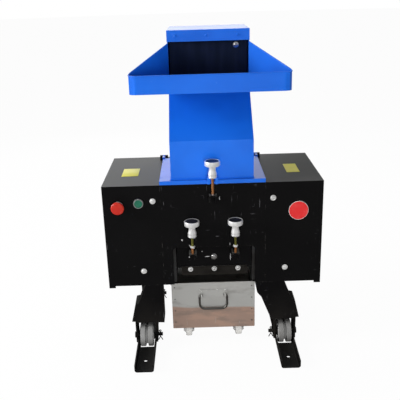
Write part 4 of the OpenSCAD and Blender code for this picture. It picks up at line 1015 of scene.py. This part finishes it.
@dataclass
class Clamp(Assembly):
    """One swing bolt with its round knob."""

    tag: str = "top"
    x: float = 0.0
    y: float = -184.0
    seat: float = 585.0
    foot: float = 527.0
    nut: bool = False

    def build(self) -> None:
        """Builds and dresses the clamp."""
        self.knob()
        self.rod()

    def knob(self) -> None:
        """Knob with a collar, a waist and a thick disc under a dark cap."""
        r, c, h, bore = 23.0, 13.0, 52.0, 4.05
        place = (self.x, self.y, self.seat)
        profile = [(bore, 0), (c * 0.92, 0), (c, h * 0.04), (c, h * 0.09), (c * 0.95, h * 0.12),
                   (c * 1.02, h * 0.19), (c * 1.0, h * 0.26), (c * 0.87, h * 0.37), (c * 0.78, h * 0.47),
                   (c * 0.78, h * 0.58), (c * 0.92, h * 0.67), (r * 0.93, h * 0.71), (r, h * 0.75),
                   (r, h * 0.965), (r * 0.965, h), (r * 0.86, h), (r * 0.84, h * 0.985),
                   (r * 0.83, h * 0.95), (bore, h * 0.95), (bore, 0)]
        knob = self.bench.turned(profile, place, UP, f"{self.tag}_knob_body", 64)
        self.bench.soften(knob, 0.6, 3, 28)
        self.dress(knob, Looks.KNOB, f"{self.tag}_knob", "chrome", f"{self.tag}_knob")
        cap = self.bench.turned([(0, h * 0.95), (r * 0.82, h * 0.95), (r * 0.82, h * 0.985), (r * 0.78, h),
                                 (r * 0.3, h * 1.004), (r * 0.26, h * 0.99), (0, h * 0.99)],
                                place, UP, f"{self.tag}_knob_cap", 48)
        self.dress(cap, Looks.BLACK_CAP, f"{self.tag}_knob", "chrome")
        turns = [a / 24 * math.tau for a in range(24)]
        rings = []
        for z in (2.6, 9.8):
            path = [(self.x + (c + 0.1) * math.cos(a), self.y + (c + 0.1) * math.sin(a), self.seat + z)
                    for a in turns]
            rings.append(self.bench.tube(path, 0.45, "collar_ring", True))
        self.dress(self.bench.joined(rings, f"{self.tag}_collar_rings"), Looks.BRIGHT,
                   f"{self.tag}_knob", "chrome")

    def rod(self) -> None:
        """Threaded rod with its cross foot and nut."""
        b = self.bench
        drop = self.seat - self.foot
        core = b.bar((self.x, self.y, self.foot + (drop + 36) / 2), 3.5, drop + 36, Axis.Z, "rod_core", 24)
        ridge = b.thread((self.x, self.y, self.foot + 7), 3.98, drop + 22, 1.4, "rod_thread")
        self.dress(b.joined([core, ridge], f"{self.tag}_rod"), Looks.ROD, f"{self.tag}_bolt", "copper_rod",
                   f"{self.tag}_bolt")
        foot = b.soften(b.bar((self.x, self.y, self.foot), 5.0, 24, Axis.X, f"{self.tag}_rod_foot", 32), 0.8)
        self.dress(foot, Looks.CENTRE, f"{self.tag}_bolt", "black_paint")
        if self.nut:
            nut = b.turned([(3.9, 0), (7.0, 0), (7.5, 0.8), (7.5, 5.6), (7.0, 6.4), (3.9, 6.4), (3.9, 0)],
                           (self.x, self.y, self.seat - 36), UP, f"{self.tag}_nut", 6)
            self.dress(b.soften(nut, 0.4), Looks.KNOB, f"{self.tag}_bolt", "chrome")


@dataclass
class Controls(Assembly):
    """Stop and start buttons on the left cover."""

    front: float = -164.0
    stop: Pair = (-288.0, 497.0)
    start: Pair = (-226.0, 505.0)

    def build(self) -> None:
        """Builds and dresses the buttons."""
        self.coat(Looks.GREY, "control_gear")
        self.mushroom()
        self.flush()

    def bezel(self, place: Pair, inner: float, name: str) -> Piece:
        """Bright ring round a button, bored to the inner radius down to its floor."""
        bore = min(inner, 9.3)
        return self.bench.turned([(bore, 1.5), (bore, 0), (15.1, 0), (15.3, 0.6), (15.3, 5.2),
                                  (14.7, 6.7), (13.9, 7.2), (inner, 7.2), (inner, 1.5), (bore, 1.5)],
                                 (place[0], self.front, place[1]), FORWARD, name, 48)

    def mushroom(self) -> None:
        """Stop button with a domed head, a groove and a raised ring."""
        x, z = self.stop
        head = self.bench.turned([(0, 5), (8.9, 5), (8.9, 14.5), (15.5, 15), (19.6, 17.4), (20, 19.5),
                                  (20, 21.6), (19.0, 24.2), (16.4, 25.8), (14.6, 26.1), (14.1, 25.7),
                                  (13.4, 25.7), (12.8, 26.3), (7, 26.9), (0, 27)],
                                 (x, self.front, z), FORWARD, "stop_head", 64)
        self.dress(head, Looks.RED, "stop_button", "red_plastic", "stop_button")
        self.dress(self.bezel(self.stop, 9.3, "stop_bezel"), Looks.FASTENER, "root", "steel")

    def flush(self) -> None:
        """Start button with a shallow dish inside its bright bezel."""
        x, z = self.start
        cap = self.bench.turned([(0, 0.3), (8.9, 0.3), (8.9, 5.0), (12.4, 5.0), (12.4, 7.4), (11.9, 8.0),
                                 (11.0, 8.1), (10.0, 7.7), (0, 7.4)],
                                (x, self.front, z), FORWARD, "start_cap", 48)
        self.dress(cap, Looks.GREEN, "start_button", "green_plastic", "start_button")
        self.dress(self.bezel(self.start, 12.6, "start_bezel"), Looks.BRIGHT, "root", "chrome")


@dataclass
class CradleTrim(Assembly):
    """What shows of the screen cradle under the front plate."""

    face: float = -150.0

    def build(self) -> None:
        """Builds and dresses the cradle's trim."""
        self.coat(Looks.CENTRE, "screen_cradle")
        self.coat(Looks.SCREEN, "screen")
        self.coat(Looks.DULL_STRIP, "discharge_lip")
        heads = [self.screw((x, self.face - 4.4, 275), FORWARD, 5.4, "lip_screw", 1.5)
                 for x in (-75, 0, 75)]
        self.dress(self.bench.joined(heads, "lip_screws"), Looks.FASTENER, "cradle", "steel")
        dome = self.bench.turned([(0, 0), (9.6, 0), (9.6, 1.2), (8.2, 1.6), (7.6, 3.6), (5.4, 5.3),
                                  (2.4, 6.0), (0, 6.1)],
                                 (0, self.face, 315), FORWARD, "dome_bolt", 40)
        self.dress(dome, Looks.BRIGHT, "cradle", "chrome")


@dataclass
class Bin(Assembly):
    """Collecting bin, its handle and casters."""

    x0: float = -138.5
    x1: float = 128.5
    y0: float = -144.0
    y1: float = 36.0
    low: float = 57.0
    top: float = 220.0
    middle: float = -5.0
    pivot: Pair = (-154.0, 179.0)

    def build(self) -> None:
        """Builds and dresses the bin."""
        self.coat(Looks.BIN, "bin_shell", "handle_plate")
        self.coat(Looks.FASTENER, "caster_forks")
        self.coat(Looks.NYLON, "caster_wheel_fl", "caster_wheel_fr", "caster_wheel_rl", "caster_wheel_rr")
        self.hems()
        self.handle()
        self.hubs()

    def hems(self) -> None:
        """Folded upper edges and the folded seams at the corners."""
        edges = []
        for y in (self.y0 + 0.8, self.y1 - 0.8):
            path = [(self.x0 + 1, y, self.top), (self.x1 - 1, y, self.top)]
            edges.append(self.bench.tube(path, 1.6, "edge"))
        for x in (self.x0 + 0.6, self.x1 - 0.6):
            path = [(x, self.y0 + 0.4, self.low + 1), (x, self.y0 + 0.4, self.top)]
            edges.append(self.bench.tube(path, 1.3, "seam"))
        self.dress(self.bench.joined(edges, "bin_hems"), Looks.BIN, "bin", "stainless")
        dots = [self.bench.turned([(0, 0), (2.4, 0), (2.2, 0.35), (0, 0.5)], (x, self.y0, z),
                                  FORWARD, "dot", 16)
                for x in (self.x0 + 9, self.x1 - 9) for z in (80, 122, 164, 206)]
        self.dress(self.bench.joined(dots, "bin_spot_welds"), Looks.WIRE, "bin", "stainless")

    def handle(self) -> None:
        """Bent wire handle hanging from its two ears."""
        y, z = self.pivot
        arm, drop, bend, corner = 44.3, 47.0, 5.0, 18.0
        left = [(self.middle - 33, y, z), (self.middle - arm + bend, y, z)]
        for k in range(1, 7):
            a = math.pi / 2 * k / 6
            left.append((self.middle - arm + bend - bend * math.sin(a), y, z - bend + bend * math.cos(a)))
        left.append((self.middle - arm, y, z - drop + corner))
        for k in range(1, 11):
            a = math.pi / 2 * k / 10
            left.append((self.middle - arm + corner * (1 - math.cos(a)), y,
                         z - drop + corner * (1 - math.sin(a))))
        right = [(2 * self.middle - px, py, pz) for px, py, pz in reversed(left)]
        wire = self.bench.tube(left + right, 3.5, "handle_wire_bent")
        self.dress(wire, Looks.WIRE, "bin_handle", "stainless", "bin_handle")

    def hubs(self) -> None:
        """Axle nuts and hub rings of the casters."""
        for tag, sx, sy in CORNERS:
            cx, cy = self.middle + sx * 84, -54 + sy * 38
            profile = [(4.5, 0), (11.0, 0), (11.0, 0.5), (9.8, 0.7), (9.2, 0.2), (6.6, 0.2), (6.0, 0.7),
                       (4.5, 0.7), (4.5, 0)]
            rings = [self.bench.turned(profile, (cx + e * 10, cy, 20.3), (e, 0, 0), "hub", 28)
                     for e in (-1, 1)]
            self.dress(self.bench.joined(rings, f"caster_hub_{tag}"), Looks.NYLON, f"caster_{tag}",
                       "white_plastic")
            nuts = [self.hex_bolt((cx + e * 13.5, cy, 20.3), (e, 0, 0), 5.4, "axle_nut") for e in (-1, 1)]
            self.dress(self.bench.joined(nuts, f"caster_nuts_{tag}"), Looks.FASTENER, "bin", "steel")


@dataclass
class Feet(Assembly):
    """Legs, rails and wheels."""

    gap: float = 226.0
    axle: Pair = (144.0, 38.0)

    def build(self) -> None:
        """Builds and dresses the feet."""
        self.coat(Looks.FEET, "front_left_leg", "front_right_leg", "rear_left_leg", "rear_right_leg",
                  "left_rail", "right_rail")
        self.coat(Looks.TYRE, "wheel_fl", "wheel_fr", "wheel_rl", "wheel_rr")
        self.coat(Looks.FEET, "wheel_pins")
        self.welds()
        self.wheels()

    def welds(self) -> None:
        """Beads where the legs stand on their wheel boxes."""
        beads = []
        for s in (-1, 1):
            for e in (-1, 1):
                y = e * 162.4
                points = [(s * (193 + 66 * k / 22), y, 97.4) for k in range(23)]
                beads.append(self.bench.tube(points, 1.7, "bead", ripple=0.16))
        self.dress(self.bench.joined(beads, "leg_welds"), Looks.FEET, "root", "black_paint")

    def wheels(self) -> None:
        """Rims of the four wheels, with their rivets."""
        y, z = self.axle
        rim = [(13.4, 19.4), (29.6, 19.4), (29.6, 20.3), (29, 20.7), (26, 20.7), (25.4, 20.4),
               (15.6, 20.4), (15, 20.8), (13.8, 20.8), (13.4, 20.4), (13.4, 19.4)]
        rivet = [(0, 20.2), (2.2, 20.2), (2.1, 21.3), (1.2, 21.6), (0, 21.6)]
        for tag, sx, sy in CORNERS:
            parts = []
            x = sx * self.gap
            for e in (-1, 1):
                parts.append(self.bench.turned(rim, (x, sy * y, z), (e, 0, 0), "rim", 48))
                for k in range(5):
                    a = math.tau * k / 5
                    place = (x, sy * y + 20.5 * math.cos(a), z + 20.5 * math.sin(a))
                    parts.append(self.bench.turned(rivet, place, (e, 0, 0), "rim_rivet", 16))
            self.dress(self.bench.joined(parts, f"wheel_rim_{tag}"), Looks.FASTENER, f"wheel_{tag}", "steel")


@dataclass
class Drive(Assembly):
    """Motor, belts, rotor and what carries them."""

    axis_y: float = 126.0
    axis_z: float = 268.0

    def build(self) -> None:
        """Builds and dresses the drive."""
        self.coat(Looks.MOTOR, "motor_housing")
        self.coat(Looks.CABINET, "motor_bracket")
        self.coat(Looks.IRON, "chamber_side_left", "chamber_side_right", "chamber_walls", "bearings",
                  "rotor_core", "driven_pulley", "flywheel", "motor_pulley")
        self.coat(Looks.STEEL, "fixed_knives", "rotor_shaft", "rotor_knives", "motor_shaft")
        self.coat(Looks.BELT, "drive_belts")
        self.terminal_box()
        self.bolts()

    def terminal_box(self) -> None:
        """Lid of the motor's terminal box with its screws, and the cable gland."""
        b = self.bench
        lid = b.block((-16, 228, 231), (78, 236, 305), "terminal_lid")
        b.press(lid, BACKWARD, 7.0, 2.0)
        b.soften(lid, 1.2, 3)
        self.dress(lid, Looks.MOTOR, "root", "cast_grey")
        heads = [self.screw((x, 236, z), BACKWARD, 2.4, "lid_screw") for x in (-12, 74) for z in (235, 301)]
        self.dress(b.joined(heads, "lid_screws"), Looks.FASTENER, "root", "steel")
        gland = b.turned([(0, 0), (11, 0), (11, 5), (8.4, 5.6), (8.8, 12), (7.6, 16), (4.2, 17.4),
                          (4.2, 10), (0, 10)],
                         (31, 213, 233), DOWN, "cable_gland", 28)
        self.dress(gland, Looks.BLACK_CAP, "root", "grey_plastic")

    def bolts(self) -> None:
        """Foot bolts of the motor and the bolts of the fan cover."""
        heads = []
        for x in (-31, 93):
            for y in (74, 178):
                heads.append(self.hex_bolt((x, y, 200), UP, 6.5, "foot_bolt"))
        for k in range(4):
            a = math.pi / 4 + math.pi / 2 * k
            heads.append(self.screw((-80, self.axis_y + 78 * math.cos(a), self.axis_z + 78 * math.sin(a)),
                                    (0, math.cos(a), math.sin(a)), 3.0, "fan_cover_screw"))
        self.dress(self.bench.joined(heads, "motor_bolts"), Looks.FASTENER, "root", "steel")


# Studio


@dataclass
class Studio:
    """Camera, lamps and floor."""

    eye: Triple = (-0.0419, -1.9003, 1.1128)
    right: Triple = (0.99955, -0.01132, -0.02781)
    up: Triple = (0.02998, 0.32791, 0.94419)
    ahead: Triple = (0.00157, 0.9446, -0.3281)
    lens: float = 54.63

    def camera(self) -> None:
        """Puts the camera where the photograph was taken from."""
        bpy.ops.object.camera_add()
        cam = bpy.context.object
        cam.data.lens = self.lens
        cam.data.sensor_width = 36.0
        cam.data.sensor_fit = "HORIZONTAL"
        turn = Matrix((self.right, self.up, tuple(-c for c in self.ahead))).transposed()
        cam.matrix_world = Matrix.Translation(self.eye) @ turn.to_4x4()
        bpy.context.scene.camera = cam

    def lamp(self, name: str, place: Point, target: Point, size: float, power: float,
             mirrored: bool = True) -> Piece:
        """Adds one soft area lamp that looks at a target, seen in reflections or not."""
        bpy.ops.object.light_add(type="AREA", location=place)
        lamp = bpy.context.object
        lamp.name = name
        lamp.data.shape = "DISK"
        lamp.data.size = size
        lamp.data.energy = power
        lamp.visible_glossy = mirrored
        lamp.rotation_euler = (Vector(target) - Vector(place)).to_track_quat("-Z", "Y").to_euler()
        return lamp

    def lights(self) -> None:
        """Lights the machine from the left, the front, above and behind, in a dim room.

        The room is white to the camera only. The front lamp isn't seen in reflections and
        the rear one isn't seen by the camera.
        """
        self.lamp("key", (-3.2, -0.7, 1.8), (0, 0, 0.7), 1.4, 104)
        self.lamp("front", (0.2, -3.1, 0.62), (0, 0, 0.75), 1.15, 50, False)
        self.lamp("top", (-0.3, 0.7, 3.0), (0, 0, 0.6), 2.0, 16)
        self.lamp("rear", (-0.5, 2.8, 1.55), (0, 0, 0.75), 2.2, 24).visible_camera = False
        world = bpy.data.worlds.new("studio")
        bpy.context.scene.world = world
        world.use_nodes = True
        tree = world.node_tree
        tree.nodes.clear()
        path = tree.nodes.new("ShaderNodeLightPath")
        dim = tree.nodes.new("ShaderNodeBackground")
        dim.inputs["Color"].default_value = (1.0, 1.0, 1.0, 1.0)
        dim.inputs["Strength"].default_value = 0.38
        white = tree.nodes.new("ShaderNodeBackground")
        white.inputs["Color"].default_value = (1.0, 1.0, 1.0, 1.0)
        white.inputs["Strength"].default_value = 1.0
        mix = tree.nodes.new("ShaderNodeMixShader")
        out = tree.nodes.new("ShaderNodeOutputWorld")
        tree.links.new(path.outputs["Is Camera Ray"], mix.inputs[0])
        tree.links.new(dim.outputs[0], mix.inputs[1])
        tree.links.new(white.outputs[0], mix.inputs[2])
        tree.links.new(mix.outputs[0], out.inputs["Surface"])

    def floor(self) -> None:
        """White floor that keeps a soft shadow and looks grey in reflections."""
        bpy.ops.mesh.primitive_circle_add(vertices=96, radius=30.0, fill_type="NGON", location=(0, 0, 0))
        floor = bpy.context.object
        floor.name = "floor"
        g = Graph("floor_white")
        matte = g.node("ShaderNodeBsdfDiffuse", None, {"Color": (0.8, 0.8, 0.8, 1.0)})
        grey = g.node("ShaderNodeBsdfDiffuse", None, {"Color": (0.2, 0.19, 0.18, 1.0)})
        glow = g.node("ShaderNodeEmission", None, {"Color": (1.0, 1.0, 1.0, 1.0), "Strength": 1.0})
        seen = g.node("ShaderNodeLightPath", output="Is Camera Ray")
        mirrored = g.node("ShaderNodeLightPath", output="Is Glossy Ray")
        lit = g.node("ShaderNodeMixShader", None, {0: mirrored, 1: matte, 2: grey})
        mixed = g.node("ShaderNodeMixShader", None, {0: seen * 0.96, 1: lit, 2: glow})
        out = g.tree.nodes.new("ShaderNodeOutputMaterial")
        g.tree.links.new(mixed.socket, out.inputs["Surface"])
        floor.data.materials.append(g.material)

    def build(self) -> None:
        """Sets up the studio."""
        self.camera()
        self.lights()
        self.floor()
        bpy.context.scene.view_settings.view_transform = "Standard"


def main() -> None:
    """Loads the frame and builds the studio and every sub-assembly."""
    logging.basicConfig(level=logging.INFO, format="%(name)s: %(message)s")
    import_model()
    Studio().build()
    parts: list[Assembly] = [
        Cabinet(), Controls(), Hopper(),
        Clamp(tag="top", x=0, y=-184, seat=585, foot=527),
        Clamp(tag="left", x=-66, y=-189, seat=400, foot=340, nut=True),
        Clamp(tag="right", x=66, y=-189, seat=400, foot=340, nut=True),
        CradleTrim(), Bin(), Feet(), Drive(),
    ]
    for part in parts:
        part.build()
        for name in part.made:
            LOG.info("%s made %s", type(part).__name__, name)


if __name__ == "__main__":
    main()
